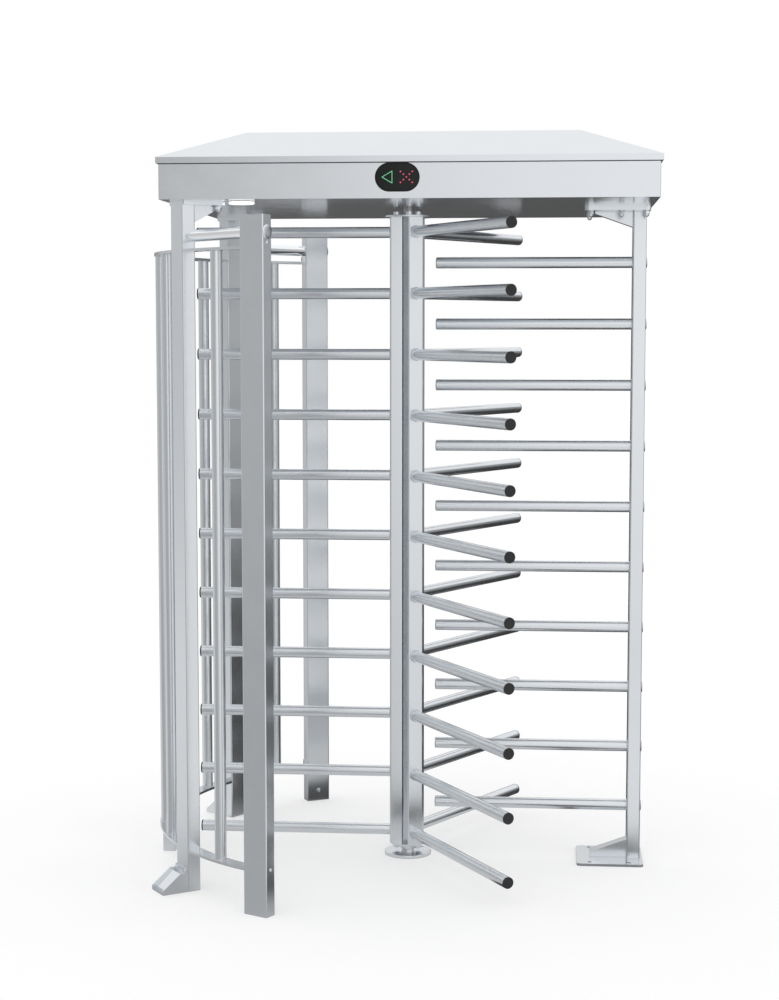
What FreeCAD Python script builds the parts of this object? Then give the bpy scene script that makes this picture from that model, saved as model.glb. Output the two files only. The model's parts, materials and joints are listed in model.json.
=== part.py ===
import FreeCAD, Part
import math
import os

# Full height turnstile: one rotor of three wings, a comb that closes one side,
# a curved guide cage on the other side and a canopy that holds the mechanism.
# Units are millimetres. The origin is on the rotor axis at floor level, +Z is up,
# -Y is the side the visitor comes from and +X points at the comb.

V = FreeCAD.Vector
UP = V(0, 0, 1)

# Round tube used for the arms, comb bars, guide tubes and head rails
TUBE_R = 16.85
TUBE_WALL = 2.0
BORE_R = TUBE_R - TUBE_WALL
DOME = 4.0

# Rotor: levels of arms and the three wing posts round the axis
LEVELS = 11
PITCH = 185.0
ARM_Z0 = 75.0
ARM_REACH = 650.0
WINGS = {"left": 180.0, "front": 300.0, "back": 60.0}
WING_IN = 15.0
WING_OUT = 55.0
WING_WIDTH = 50.0
WING_WALL = 3.0
WING_BLOCK = 17.0
CAP_T = 4.0
CAP_PLUG = 24.0
ROTOR_Z0 = 41.0
ROTOR_Z1 = 1969.0
TOP_FLANGE_R = 71.5
DISC_R = 56.5
FLANGE_T = 6.0
SCREW_RADIAL = 35.0
SCREW_SIDE = 15.0

# Floor bearing under the rotor
FLOOR_FLANGE_R = 72.5
FLOOR_FLANGE_T = 10.0
FLOOR_PCD = 115.0
FLOOR_HOLE_R = 5.5
BOSS_TOP = 17.2
PIN_R = 10.0
FIT = 0.05

# Shaft and mechanism above the canopy's underside
SHAFT_R = 15.0
SHAFT_TOP = 2098.0
PLATE_Z = 2037.0
PLATE_T = 8.0
PLATE_X = 172.0
PLATE_Y = 225.0
PLATE_BOLT_Y = 205.0
BEARING_R = 31.0
BEARING_Z = 2029.0
BEARING_H = 16.0
GEAR_Z = 2059.0
GEAR_T = 12.0
GEAR_TEETH = 96
PINION_TEETH = 24
MODULE = 2.0
BACKLASH = 0.2
MOTOR_Y = MODULE * (GEAR_TEETH + PINION_TEETH) / 2 + 0.3
MOTOR_R = 45.0
MOTOR_SHAFT_R = 6.0
M6_R = 3.0
LOCK_Z = 2079.0
LOCK_T = 8.0
LOCK_R = 75.0
NOTCHES = 12
NOTCH_HALF = 7.5
NOTCH_FLOOR = 62.0
PAWL_AZIMUTH = {"entry": 210.0, "exit": 330.0}
PAWL_PIVOT_X = 76.0
PAWL_PIVOT_Y = 80.0
PAWL_T = 7.0
PAWL_PIN_R = 5.0
PAWL_LIFT = 9.9
STROKE = PAWL_PIVOT_Y * math.radians(PAWL_LIFT)

# Canopy
CAN_X0 = -668.0
CAN_X1 = 732.0
CAN_Y = 500.0
CAN_Z = 1995.0
CAN_H = 100.0
SHEET = 2.0
RETURN_W = 20.0
SEAM_X = -392.0
LIP_H = 18.0
LIP_OUT = 7.0
ROOF_Z = 2200.0
ROOF_INSET = 225.0
INDICATOR_X = 5.0
INDICATOR_Z = 2053.0
INDICATOR_W = 125.0
INDICATOR_H = 80.0
RAIL_Y = 440.0
RAIL_X = (-626.0, -150.0, 150.0, 600.0, 681.0)
RAIL = 40.0
RAIL_WALL = 3.0
RAIL_Z = CAN_Z + SHEET
PAD_T = 10.0
LIGHT_X = -448.0
LIGHT_Y = -400.0
LIGHT_R = 37.5
LIGHT_DROP = 9.0
LID_SCREW_X = (-520.0, -170.0, 230.0, 580.0)

# Control electrics inside the canopy
SUPPORT_T = 5.0
BOX_X0 = -540.0
BOX_X1 = -250.0
BOX_Y = 222.0
BOX_H = 66.0
SUPPLY_X0 = 255.0
CABLE_R = 3.5
CABLE_BEND = 24.0
CABLE_Z = 2045.0
LIGHT_CABLE_Y = -160.0

# Comb at +X
COMB_X0 = 677.0
COMB_X1 = 717.0
COMB_Y = 40.0
COMB_TIP = 84.0
COMB_TAIL = 4.0
COMB_BARS = 10
COMB_Z0 = ARM_Z0 + PITCH / 2
FOOT_X0 = 524.0
FOOT_X1 = 726.0
FOOT_Y = 105.0
FOOT_T = 8.0
FOOT_HOLE_X = (564.0, 683.0)
FOOT_HOLE_Y = 85.0
ANCHOR_R = 6.0
HEAD_PLATE_T = 12.0
BRACKET_HOLE_R = 5.5
HEAD_X0 = 532.0
HEAD_X1 = 727.0
HEAD_BOLT_X = (549.0, 640.0, 714.0)
GUSSET_L = 113.0
GUSSET_W = 45.0
# Depth at the tip and at the post of each comb gusset, low enough to pass clear of the arm tips
FOOT_GUSSET = (14.0, 56.0)
HEAD_GUSSET = (6.0, 46.0)

# Guide cage on the -X side: posts by azimuth and inner radius
POST_D = 40.0
POST_W = 80.0
POST_WALL = 3.0
POST_CORNER = 4.0
RING_R = 728.0
END_R = 742.0
FRONT_AZ = 215.0
SIDE_AZ = 180.0
END_AZ = 241.1
END_TOP = 1942.0
BAND_T = 8.0
BAND_LOW = 118.0
BAND_HIGH = 1850.0
HEAD_RAIL_Z = 1895.0
HEAD_RAIL_CAP_R = 20.0
HEAD_RAIL_CAP_T = 5.0
CAP_STEM_R = 11.0
TUBE_AZ = (191.4, 203.6, 228.6)
FOOT_REACH = 80.0
FOOT_CHEEK = 4.0
FOOT_RISE = 58.0
FOOT_BOLT_Z = 60.0
CAGE_PLATE_R0 = 636.0
CAGE_PLATE_HALF = 50.0
CAGE_BOLT_R = 652.0
CAGE_BOLT_SIDE = 36.0
CAGE_GUSSET_H = 52.0
SOCKET_BOLT_Z = 35.0
BAND_BOLT_Z = {"guide_band_bottom": BAND_LOW + 14.0, "guide_band_top": BAND_HIGH + 16.0}


def box(x0, x1, y0, y1, z0, z1):
    """Box between two corners."""
    return Part.makeBox(x1 - x0, y1 - y0, z1 - z0, V(x0, y0, z0))


def rod(r, z0, z1, x=0.0, y=0.0):
    """Upright cylinder."""
    return Part.makeCylinder(r, z1 - z0, V(x, y, z0), UP)


def rod_along(r, start, end):
    """Cylinder from one point to another."""
    way = end.sub(start)
    return Part.makeCylinder(r, way.Length, start, way)


def turned(shape, azimuth):
    """Copy of a shape turned about the rotor axis."""
    copy = shape.copy()
    copy.rotate(V(0, 0, 0), UP, azimuth)
    return copy


def mirrored_y(shape):
    """Copy of a shape mirrored in the plane Y = 0."""
    return shape.mirror(V(0, 0, 0), V(0, 1, 0))


def upright_edges(shape):
    """Edges of a box that run along Z."""
    return [e for e in shape.Edges if abs(e.tangentAt(e.FirstParameter).z) > 0.99]


def rounded(x0, x1, y0, y1, z0, z1, r):
    """Box with rounded upright edges."""
    block = box(x0, x1, y0, y1, z0, z1)
    return block.makeFillet(r, upright_edges(block))


def fused(shapes):
    """One solid out of several."""
    whole = shapes[0]
    for shape in shapes[1:]:
        whole = whole.fuse(shape)
    return whole.removeSplitter()


def prism(points, along, length):
    """Extrude a closed outline of points."""
    wire = Part.makePolygon([V(*p) for p in points] + [V(*points[0])])
    way = V(*along)
    way.normalize()
    return Part.Face(wire).extrude(way * length)


def save(node, shapes):
    """Write one node; a list of shapes stays a group of separate solids."""
    shape = shapes if hasattr(shapes, "Volume") else Part.makeCompound(shapes)
    shape.exportStep("parts/%s.step" % node)
    print("%-24s %3d solids" % (node, len(shape.Solids)))


def post_tube(r_in, width, z0, z1, depth=POST_D, wall=POST_WALL, corner=POST_CORNER):
    """Rectangular hollow section standing at azimuth 0, its faces square to X."""
    outer = rounded(r_in, r_in + depth, -width / 2, width / 2, z0, z1, corner)
    inner = rounded(r_in + wall, r_in + depth - wall, -width / 2 + wall, width / 2 - wall,
                    z0 - 1, z1 + 1, corner - wall + 0.5)
    return outer.cut(inner)


def arm_levels():
    return [ARM_Z0 + PITCH * k for k in range(LEVELS)]


def flange_points():
    """Screw places: two in the end block of each wing post."""
    places = []
    for azimuth in WINGS.values():
        for side in (-SCREW_SIDE, SCREW_SIDE):
            a = math.radians(azimuth)
            places.append((SCREW_RADIAL * math.cos(a) - side * math.sin(a),
                           SCREW_RADIAL * math.sin(a) + side * math.cos(a)))
    return places


# Rotor

def wing_post():
    """One hollow wing post with end blocks and a hole for each arm."""
    post = post_tube(WING_IN, WING_WIDTH, ROTOR_Z0, ROTOR_Z1, wall=WING_WALL, corner=5.0)
    half = WING_WIDTH / 2 - WING_WALL
    for z0, z1 in ((ROTOR_Z0, ROTOR_Z0 + WING_BLOCK), (ROTOR_Z1 - WING_BLOCK, ROTOR_Z1)):
        block = box(WING_IN + WING_WALL, WING_OUT - WING_WALL, -half, half, z0, z1)
        post = post.fuse(block)
        for side in (-SCREW_SIDE, SCREW_SIDE):
            post = post.cut(rod(5.0, z0 - 1, z1 + 1, SCREW_RADIAL, side))
    for z in arm_levels():
        post = post.cut(rod_along(TUBE_R + 0.1, V(WING_OUT - 8, 0, z), V(WING_OUT + 2, 0, z)))
    return post.removeSplitter()


def tube_between(start, end):
    """Open round tube."""
    return rod_along(TUBE_R, start, end).cut(rod_along(BORE_R, start, end))


def arm(z):
    start = WING_IN + WING_WALL + 0.3
    return tube_between(V(start, 0, z), V(ARM_REACH - CAP_T, 0, z))


def end_cap(z):
    """Black plug: a flat head flush with the tube and a spigot inside it."""
    head = Part.makeCylinder(TUBE_R, CAP_T, V(ARM_REACH - CAP_T, 0, z), V(1, 0, 0))
    rim = [e for e in head.Edges if abs(e.CenterOfMass.x - ARM_REACH) < 0.01]
    head = head.makeFillet(0.8, rim)
    spigot = rod_along(BORE_R - 0.05, V(ARM_REACH - CAP_PLUG, 0, z), V(ARM_REACH - CAP_T + 0.5, 0, z))
    return head.fuse(spigot).removeSplitter()


def cap_screw(x, y, z_seat, points_up, size, length):
    """Cap screw of a metric size whose head seats at z_seat; the shank points up or down."""
    way = 1 if points_up else -1
    head = Part.makeCylinder(size * 0.8, size, V(x, y, z_seat), UP * -way)
    socket = Part.makeCylinder(size * 0.4, size * 0.5, V(x, y, z_seat - way * size), UP * way)
    shank = Part.makeCylinder(size / 2 - 0.05, length, V(x, y, z_seat), UP * way)
    return head.cut(socket).fuse(shank).removeSplitter()


def build_rotor():
    post = wing_post()
    arms = [arm(z) for z in arm_levels()]
    caps = [end_cap(z) for z in arm_levels()]
    all_caps = []
    for name, azimuth in WINGS.items():
        save("rotor_post_" + name, turned(post, azimuth))
        save("rotor_arms_" + name, [turned(a, azimuth) for a in arms])
        all_caps += [turned(c, azimuth) for c in caps]
    save("arm_end_caps", all_caps)

    top = rod(TOP_FLANGE_R, ROTOR_Z1, ROTOR_Z1 + FLANGE_T)
    top = top.makeFillet(1.0, [e for e in top.Edges if e.Length > 400])
    top = top.cut(rod(SHAFT_R + 0.02, ROTOR_Z1 - 1, ROTOR_Z1 + FLANGE_T + 1))
    disc = rod(DISC_R, ROTOR_Z0 - FLANGE_T, ROTOR_Z0)
    disc = disc.makeFillet(1.0, [e for e in disc.Edges if e.Length > 300])
    disc = disc.fuse(rod(24.0, BOSS_TOP + 1.8, ROTOR_Z0 - FLANGE_T + 1))
    disc = disc.cut(rod(14.0, BOSS_TOP + 1, ROTOR_Z0 - 3))
    screws = []
    for x, y in flange_points():
        top = top.cut(rod(5.5, ROTOR_Z1 - 1, ROTOR_Z1 + FLANGE_T + 1, x, y))
        disc = disc.cut(rod(5.5, ROTOR_Z0 - FLANGE_T - 1, ROTOR_Z0 + 1, x, y))
        screws.append(cap_screw(x, y, ROTOR_Z0 - FLANGE_T, True, 10.0, 26.0))
        screws.append(cap_screw(x, y, ROTOR_Z1 + FLANGE_T, False, 10.0, 26.0))
    save("rotor_top_flange", top)
    save("rotor_bottom_disc", disc.removeSplitter())
    save("rotor_flange_screws", screws)

    bush = rod(13.98, BOSS_TOP + 1.8, ROTOR_Z0 - 3.5).fuse(rod(20.0, BOSS_TOP + 0.2, BOSS_TOP + 1.8))
    save("lower_bush", bush.cut(rod(PIN_R + FIT, BOSS_TOP - 1, ROTOR_Z0)).removeSplitter())

    shaft = rod(SHAFT_R, ROTOR_Z1, SHAFT_TOP)
    tip = [e for e in shaft.Edges if e.CenterOfMass.z > SHAFT_TOP - 0.01 and e.Length > 10]
    save("rotor_shaft", shaft.makeChamfer(1.5, tip))


def build_floor_bearing():
    flange = rod(FLOOR_FLANGE_R, 0, FLOOR_FLANGE_T)
    rim = [e for e in flange.Edges if e.CenterOfMass.z > FLOOR_FLANGE_T - 0.01 and e.Length > 400]
    flange = flange.makeFillet(3.0, rim)
    flange = flange.fuse(rod(20.0, FLOOR_FLANGE_T - 1, BOSS_TOP))
    flange = flange.fuse(rod(PIN_R, BOSS_TOP - 1, ROTOR_Z0 - 4.2))
    for k in range(4):
        a = math.radians(45 + 90 * k)
        x, y = FLOOR_PCD / 2 * math.cos(a), FLOOR_PCD / 2 * math.sin(a)
        flange = flange.cut(rod(FLOOR_HOLE_R, -1, FLOOR_FLANGE_T + 1, x, y))
    save("floor_flange", flange.removeSplitter())


# Mechanism

def gear_outline(teeth, first_tooth):
    """Corner points of a spur gear with straight-sided teeth."""
    pitch_r = MODULE * teeth / 2
    rows = ((pitch_r - 1.3 * MODULE, 0.36), (pitch_r, 0.25), (pitch_r + 0.9 * MODULE, 0.12))
    shrink = BACKLASH / (2 * math.pi * pitch_r) * teeth
    points = []
    for k in range(teeth):
        for side, order in ((-1, rows), (1, rows[::-1])):
            for r, part in order:
                a = first_tooth + (k + side * (part - shrink)) * 2 * math.pi / teeth
                points.append((r * math.cos(a), r * math.sin(a), 0))
    return points


def gear_body(teeth, first_tooth, z0, z1):
    body = prism(gear_outline(teeth, first_tooth), (0, 0, 1), z1 - z0)
    body.translate(V(0, 0, z0))
    return body


def build_gears():
    toward = math.pi / 2
    gear = gear_body(GEAR_TEETH, toward, GEAR_Z, GEAR_Z + GEAR_T)
    gear = gear.fuse(rod(19.0, BEARING_Z + BEARING_H + 0.3, GEAR_Z + 1))
    gear = gear.fuse(rod(24.0, GEAR_Z + GEAR_T - 1, LOCK_Z))
    gear = gear.cut(rod(SHAFT_R + 0.02, GEAR_Z - 40, GEAR_Z + 40))
    for k in range(6):
        a = math.radians(60 * k)
        hole = rod(18.0, GEAR_Z - 1, GEAR_Z + GEAR_T + 1, 58 * math.cos(a), 58 * math.sin(a))
        gear = gear.cut(hole)
    save("rotor_gear", gear.removeSplitter())

    # A gap of the pinion faces the gear tooth on the line of centres
    pinion = gear_body(PINION_TEETH, -toward + math.pi / PINION_TEETH, GEAR_Z - 1, GEAR_Z + GEAR_T + 1)
    pinion = pinion.fuse(rod(MOTOR_SHAFT_R, CAN_Z + 12, GEAR_Z + GEAR_T + 5))
    pinion = pinion.fuse(rod(12.0, PLATE_Z + PLATE_T + 3, GEAR_Z))
    pinion.translate(V(0, MOTOR_Y, 0))
    save("motor_pinion", pinion.removeSplitter())

    motor = rod(MOTOR_R - 3, CAN_Z + 6, PLATE_Z - 7, 0, MOTOR_Y)
    motor = motor.fuse(rod(MOTOR_R, PLATE_Z - 8, PLATE_Z, 0, MOTOR_Y))
    motor = motor.fuse(box(-12, 12, MOTOR_Y + 38, MOTOR_Y + 52, CAN_Z + 12, CAN_Z + 28))
    motor = motor.cut(rod(MOTOR_SHAFT_R + FIT, CAN_Z + 11, PLATE_Z + 1, 0, MOTOR_Y))
    for k in range(12):
        a = math.radians(15 + 30 * k)
        x, y = (MOTOR_R - 3) * math.cos(a), MOTOR_Y + (MOTOR_R - 3) * math.sin(a)
        motor = motor.cut(rod(2.5, CAN_Z + 10, PLATE_Z - 12, x, y))
    for x, y in motor_screw_places():
        motor = motor.cut(rod(M6_R, PLATE_Z - 7, PLATE_Z + 1, x, y))
    save("drive_motor", motor.removeSplitter())


def build_locking_disc():
    disc = rod(LOCK_R, LOCK_Z, LOCK_Z + LOCK_T).fuse(rod(24.0, LOCK_Z + LOCK_T - 1, LOCK_Z + LOCK_T + 7))
    notch = box(NOTCH_FLOOR, LOCK_R + 5, -NOTCH_HALF, NOTCH_HALF, LOCK_Z - 1, LOCK_Z + LOCK_T + 1)
    for k in range(NOTCHES):
        disc = disc.cut(turned(notch, 360.0 / NOTCHES * k))
    disc = disc.cut(rod(SHAFT_R + 0.02, LOCK_Z - 1, LOCK_Z + LOCK_T + 8))
    save("locking_disc", disc.removeSplitter())


def pawl():
    """Exit pawl at azimuth 0, engaged: its nose lies in a notch and its pivot is at +Y."""
    z0 = LOCK_Z + (LOCK_T - PAWL_T) / 2
    outline = [(64.5, -4.5, z0), (79, -4.5, z0), (84, -9, z0), (92, -9, z0), (92, 40, z0),
               (88, PAWL_PIVOT_Y, z0), (66, PAWL_PIVOT_Y - 8, z0), (78, 8, z0), (78, 4.5, z0),
               (64.5, 4.5, z0)]
    lever = prism(outline, (0, 0, 1), PAWL_T)
    lever = lever.fuse(rod(12.0, z0, z0 + PAWL_T, PAWL_PIVOT_X, PAWL_PIVOT_Y))
    lever = lever.cut(rod(PAWL_PIN_R + 0.06, z0 - 1, z0 + PAWL_T + 1, PAWL_PIVOT_X, PAWL_PIVOT_Y))
    return lever.fuse(rod(3.0, z0 + PAWL_T - 1, LOCK_Z + 16, 84, 0)).removeSplitter()


def plunger():
    """Solenoid plunger at azimuth 0, pushed in, with a slotted tongue over the engaged pawl's stud."""
    z = LOCK_Z + 11.5
    tongue = box(76, 99, -9, 13, z - 2, z + 2)
    slot = rounded(84 - 3.8, 84 + 3.8, -3.8, 7.2, z - 5, z + 5, 3.7)
    bar = rod_along(5.0, V(98, 0, z), V(142, 0, z))
    return tongue.cut(slot).fuse(bar).removeSplitter()


def solenoid():
    """Solenoid coil on its stand at azimuth 0."""
    z = LOCK_Z + 11.5
    body = rounded(114, 162, -20, 20, z - 18, z + 18, 3)
    stand = box(116, 160, -16, 16, PLATE_Z + PLATE_T, z - 17)
    stand = stand.cut(box(120, 156, -17, 17, PLATE_Z + PLATE_T + 4, z - 21))
    for side in (-10.0, 10.0):
        stand = stand.cut(rod(M6_R, PLATE_Z, PLATE_Z + PLATE_T + 5, 138, side))
    whole = body.fuse(stand)
    return whole.cut(rod_along(5.4, V(110, 0, z), V(159, 0, z))).removeSplitter()


def pivot_pin():
    """Shouldered pin that carries one pawl."""
    z0 = PLATE_Z + PLATE_T
    shoulder = LOCK_Z + (LOCK_T - PAWL_T) / 2 - 0.3
    x, y = PAWL_PIVOT_X, PAWL_PIVOT_Y
    pin = rod(5.0, PLATE_Z, LOCK_Z + 14, x, y).fuse(rod(8.0, z0, shoulder, x, y))
    clip = rod(8.0, LOCK_Z + 9, LOCK_Z + 10.2, x, y)
    return pin.fuse(clip).removeSplitter()


def pawl_spring():
    """Torsion coil round the shoulder of the pivot pin."""
    turns_pitch = 2.4
    helix = Part.makeHelix(turns_pitch, turns_pitch * 6, 10.0)
    helix.translate(V(PAWL_PIVOT_X, PAWL_PIVOT_Y, PLATE_Z + PLATE_T + 10))
    start = V(PAWL_PIVOT_X + 10.0, PAWL_PIVOT_Y, PLATE_Z + PLATE_T + 10)
    section = Part.Wire(Part.makeCircle(0.8, start, V(0, 1, 0)))
    return Part.Wire(helix).makePipeShell([section], True, True)


def build_locks():
    # At rest the coils have no current, the pawls stand clear of the disc and the rotor is free
    lifted = pawl()
    lifted.rotate(V(PAWL_PIVOT_X, PAWL_PIVOT_Y, 0), UP, PAWL_LIFT)
    drawn_back = plunger()
    drawn_back.translate(V(STROKE, 0, 0))
    pins, springs = [], []
    for name, azimuth in PAWL_AZIMUTH.items():
        pieces = {"pawl_": lifted, "plunger_": drawn_back, "solenoid_": solenoid()}
        extras = [pivot_pin(), pawl_spring()]
        if name == "entry":
            pieces = {key: mirrored_y(shape) for key, shape in pieces.items()}
            extras = [mirrored_y(shape) for shape in extras]
        for key, shape in pieces.items():
            save(key + name, turned(shape, azimuth))
        pins.append(turned(extras[0], azimuth))
        springs.append(turned(extras[1], azimuth))
    save("pawl_pins", pins)
    save("pawl_springs", springs)
    return pins


def motor_screw_places():
    """Four screws through the plate into the motor's flange."""
    return [(sx * 26.0, MOTOR_Y + sy * 26.0) for sx in (-1, 1) for sy in (-1, 1)]


def m6_screw_places():
    """Every M6 screw that points down: place, seat height and length."""
    top = PLATE_Z + PLATE_T
    places = []
    for k in range(4):
        a = math.radians(45 + 90 * k)
        places.append((47 * math.cos(a), 47 * math.sin(a), top + 4, PLATE_T + 3.5))
    for x in (-150.0, 150.0):
        for y in (-PLATE_BOLT_Y, PLATE_BOLT_Y):
            places.append((x, y, top, PLATE_T + 6))
    for x, y in motor_screw_places():
        places.append((x, y, top, PLATE_T + 6))
    for azimuth in PAWL_AZIMUTH.values():
        a = math.radians(azimuth)
        for side in (-10.0, 10.0):
            x, y = 138 * math.cos(a) - side * math.sin(a), 138 * math.sin(a) + side * math.cos(a)
            places.append((x, y, top + 4, PLATE_T + 3.5))
    return places


def lid_screw_places():
    """M6 screws up through the fascia's top flange into the lid."""
    places = [(x, s * (CAN_Y - 12)) for x in LID_SCREW_X for s in (-1, 1)]
    return places + [(x, y) for x in (CAN_X0 + 12, CAN_X1 - 12) for y in (-200.0, 200.0)]


def build_mechanism_plate(pins):
    plate = rounded(-PLATE_X, PLATE_X, -PLATE_Y, PLATE_Y, PLATE_Z, PLATE_Z + PLATE_T, 8)
    plate = plate.cut(rod(38.6, PLATE_Z - 1, PLATE_Z + PLATE_T + 1))
    plate = plate.cut(rod(14.0, PLATE_Z - 1, PLATE_Z + PLATE_T + 1, 0, MOTOR_Y))
    housing = rod(55.0, PLATE_Z + PLATE_T, PLATE_Z + PLATE_T + 10)
    housing = housing.fuse(rod(38.5, BEARING_Z - 4, PLATE_Z + PLATE_T + 1))
    housing = housing.cut(rod(20.0, BEARING_Z - 5, BEARING_Z + 1))
    housing = housing.cut(rod(BEARING_R + 0.02, BEARING_Z, PLATE_Z + PLATE_T + 11))
    top = PLATE_Z + PLATE_T
    screws = []
    for x, y, seat, length in m6_screw_places():
        hole = rod(M6_R, PLATE_Z - 1, PLATE_Z + PLATE_T + 11, x, y)
        plate = plate.cut(hole)
        housing = housing.cut(hole)
        if abs(seat - top - 4) < 0.1 and math.hypot(x, y) < 55:
            housing = housing.cut(rod(5.2, seat, top + 11, x, y))
        screws.append(cap_screw(x, y, seat, False, 2 * M6_R, length))
    for x, y in lid_screw_places():
        screws.append(cap_screw(x, y, CAN_Z + CAN_H - SHEET, True, 2 * M6_R, 10.0))
    for pin in pins:
        plate = plate.cut(pin)
    save("mechanism_plate", plate)
    save("bearing_housing", housing.removeSplitter())
    save("m6_screws", screws)

    outer = rod(BEARING_R, BEARING_Z, BEARING_Z + BEARING_H).cut(
        rod(BEARING_R - 5, BEARING_Z - 1, BEARING_Z + BEARING_H + 1))
    inner = rod(SHAFT_R + 5, BEARING_Z, BEARING_Z + BEARING_H).cut(
        rod(SHAFT_R + FIT, BEARING_Z - 1, BEARING_Z + BEARING_H + 1))
    middle = BEARING_Z + BEARING_H / 2
    groove = Part.makeTorus(23.0, 4.85, V(0, 0, middle), UP)
    balls = []
    for k in range(9):
        a = math.radians(40 * k)
        balls.append(Part.makeSphere(4.7, V(23 * math.cos(a), 23 * math.sin(a), middle)))
    save("upper_bearing", [outer.cut(groove), inner.cut(groove)] + balls)


def build_sensors():
    """Two proximity sensors on a bracket that look at the gear teeth."""
    z = GEAR_Z + GEAR_T / 2
    azimuth = 55.0
    bracket = box(112, 118, -26, 26, PLATE_Z + PLATE_T, z + 12)
    bracket = bracket.fuse(box(112, 140, -26, 26, PLATE_Z + PLATE_T, PLATE_Z + PLATE_T + 4))
    bodies = []
    for side in (-13.0, 13.0):
        bracket = bracket.cut(rod_along(6.1, V(100, side, z), V(130, side, z)))
        reach = 100.5 + 1.5
        bodies.append(rod_along(6.0, V(reach, side, z), V(reach + 45, side, z)))
    save("position_sensors", [turned(s, azimuth) for s in [bracket.removeSplitter()] + bodies])


def rounded_route(points, radius, bend):
    """Cable of straight runs joined by tangent arcs."""
    route = [V(*p) for p in points]
    edges = []
    start = route[0]
    for before, corner, after in zip(route, route[1:], route[2:]):
        inward, outward = before.sub(corner), after.sub(corner)
        inward.normalize()
        outward.normalize()
        half = math.acos(max(-1.0, min(1.0, inward.dot(outward)))) / 2
        cut = bend / math.tan(half)
        first, last = corner.add(inward * cut), corner.add(outward * cut)
        middle = inward.add(outward)
        middle.normalize()
        apex = corner.add(middle * (bend / math.sin(half) - bend))
        edges.append(Part.LineSegment(start, first).toShape())
        edges.append(Part.Arc(first, apex, last).toShape())
        start = last
    edges.append(Part.LineSegment(start, route[-1]).toShape())
    way = route[1].sub(route[0])
    section = Part.Wire(Part.makeCircle(radius, route[0], way))
    return Part.Wire(edges).makePipeShell([section], True, False)


def build_electrics():
    x0, x1, y, z0 = BOX_X0, BOX_X1, BOX_Y, RAIL_Z + SUPPORT_T
    tray = box(x0, x1, -y, y, z0, z0 + BOX_H)
    tray = tray.cut(box(x0 + 1.5, x1 - 1.5, -y + 1.5, y - 1.5, z0 + 1.5, z0 + BOX_H + 1))
    for _, mouth, _ in cable_routes():
        tray = tray.cut(rod_along(CABLE_R + 2.0, V(x1 - 5, mouth, CABLE_Z), V(x1 + 5, mouth, CABLE_Z)))
    grommet = rod_along(CABLE_R + 2.0, V(x0 - 5, LIGHT_CABLE_Y, CABLE_Z), V(x0 + 5, LIGHT_CABLE_Y, CABLE_Z))
    tray = tray.cut(grommet)
    lid = box(x0 - 2, x1 + 2, -y - 2, y + 2, z0 + BOX_H, z0 + BOX_H + 2)
    save("control_box", [tray, lid])

    board = box(x0 + 40, x1 - 40, -170, 130, z0 + 12, z0 + 13.6)
    terminals = [box(x0 + 46, x0 + 58, -150 + 34 * k, -122 + 34 * k, z0 + 13.6, z0 + 26) for k in range(8)]
    relays = [box(x1 - 90, x1 - 74, -150 + 32 * k, -126 + 32 * k, z0 + 13.6, z0 + 30) for k in range(6)]
    chip = box(x0 + 128, x0 + 156, -20, 8, z0 + 13.6, z0 + 17)
    legs = [rod(3.0, z0 + 1.5, z0 + 12, x, s) for x in (x0 + 48, x1 - 48) for s in (-162.0, 122.0)]
    save("control_board", fused([board, chip] + terminals + relays + legs))

    case = rounded(SUPPLY_X0, SUPPLY_X0 + 98, -80, 80, z0, z0 + 40, 2)
    for k in range(6):
        slot_x = SUPPLY_X0 + 13 + 12 * k
        case = case.cut(box(slot_x, slot_x + 4, -50, 50, z0 + 37, z0 + 42))
    terminal = box(SUPPLY_X0 + 7, SUPPLY_X0 + 91, -92, -79, z0, z0 + 19)
    save("power_supply", case.fuse(terminal).removeSplitter())

    cables = []
    for _, mouth, points in cable_routes():
        route = [(x1 - 20, mouth, CABLE_Z), (x1 + 30, mouth, CABLE_Z)] + points
        cables.append(rounded_route(route, CABLE_R, CABLE_BEND))
    lamp = [(x0 + 20, LIGHT_CABLE_Y, CABLE_Z), (x0 - 32, LIGHT_CABLE_Y, CABLE_Z),
            (x0 - 40, -290, CABLE_Z), (LIGHT_X - 50, LIGHT_Y + 25, CABLE_Z), (LIGHT_X, LIGHT_Y, CABLE_Z),
            (LIGHT_X, LIGHT_Y, CAN_Z + 14)]
    cables.append(rounded_route(lamp, CABLE_R, CABLE_BEND))
    save("wiring_loom", cables)


def cable_routes():
    """Cables from the inner side of the control box: use, place along Y and the points that follow."""
    x = BOX_X1 + 30
    low = PLATE_Z - 22
    indicator_x = INDICATOR_X - 20
    supply_x = SUPPLY_X0 + 49
    return [
        ("motor", 120.0, [(x + 20, 250, CABLE_Z), (-60, 268, CABLE_Z), (0, 262, low + 10), (0, 215, low),
                          (0, MOTOR_Y + 52, low)]),
        ("rear indicator", 170.0, [(x + 14, 320, CABLE_Z), (indicator_x - 40, 395, CABLE_Z),
                                   (indicator_x, 425, CABLE_Z), (indicator_x, CAN_Y - 34, CABLE_Z)]),
        ("front indicator", -170.0, [(x + 14, -320, CABLE_Z), (indicator_x - 40, -395, CABLE_Z),
                                     (indicator_x, -425, CABLE_Z), (indicator_x, -CAN_Y + 34, CABLE_Z)]),
        ("power supply", -120.0, [(x + 20, -250, CABLE_Z), (200, -262, CABLE_Z), (supply_x, -215, low),
                                  (supply_x, -150, low - 6), (supply_x, -92, low - 6)]),
    ]


# Canopy

def stadium(w, h, y0, y1, x, z):
    """Block with round ends, its length along X, between two Y planes."""
    r = h / 2
    flat = box(x - w / 2 + r, x + w / 2 - r, y0, y1, z - r, z + r)
    ends = [Part.makeCylinder(r, y1 - y0, V(x + s * (w / 2 - r), y0, z), V(0, 1, 0)) for s in (-1, 1)]
    return fused([flat] + ends)


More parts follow.
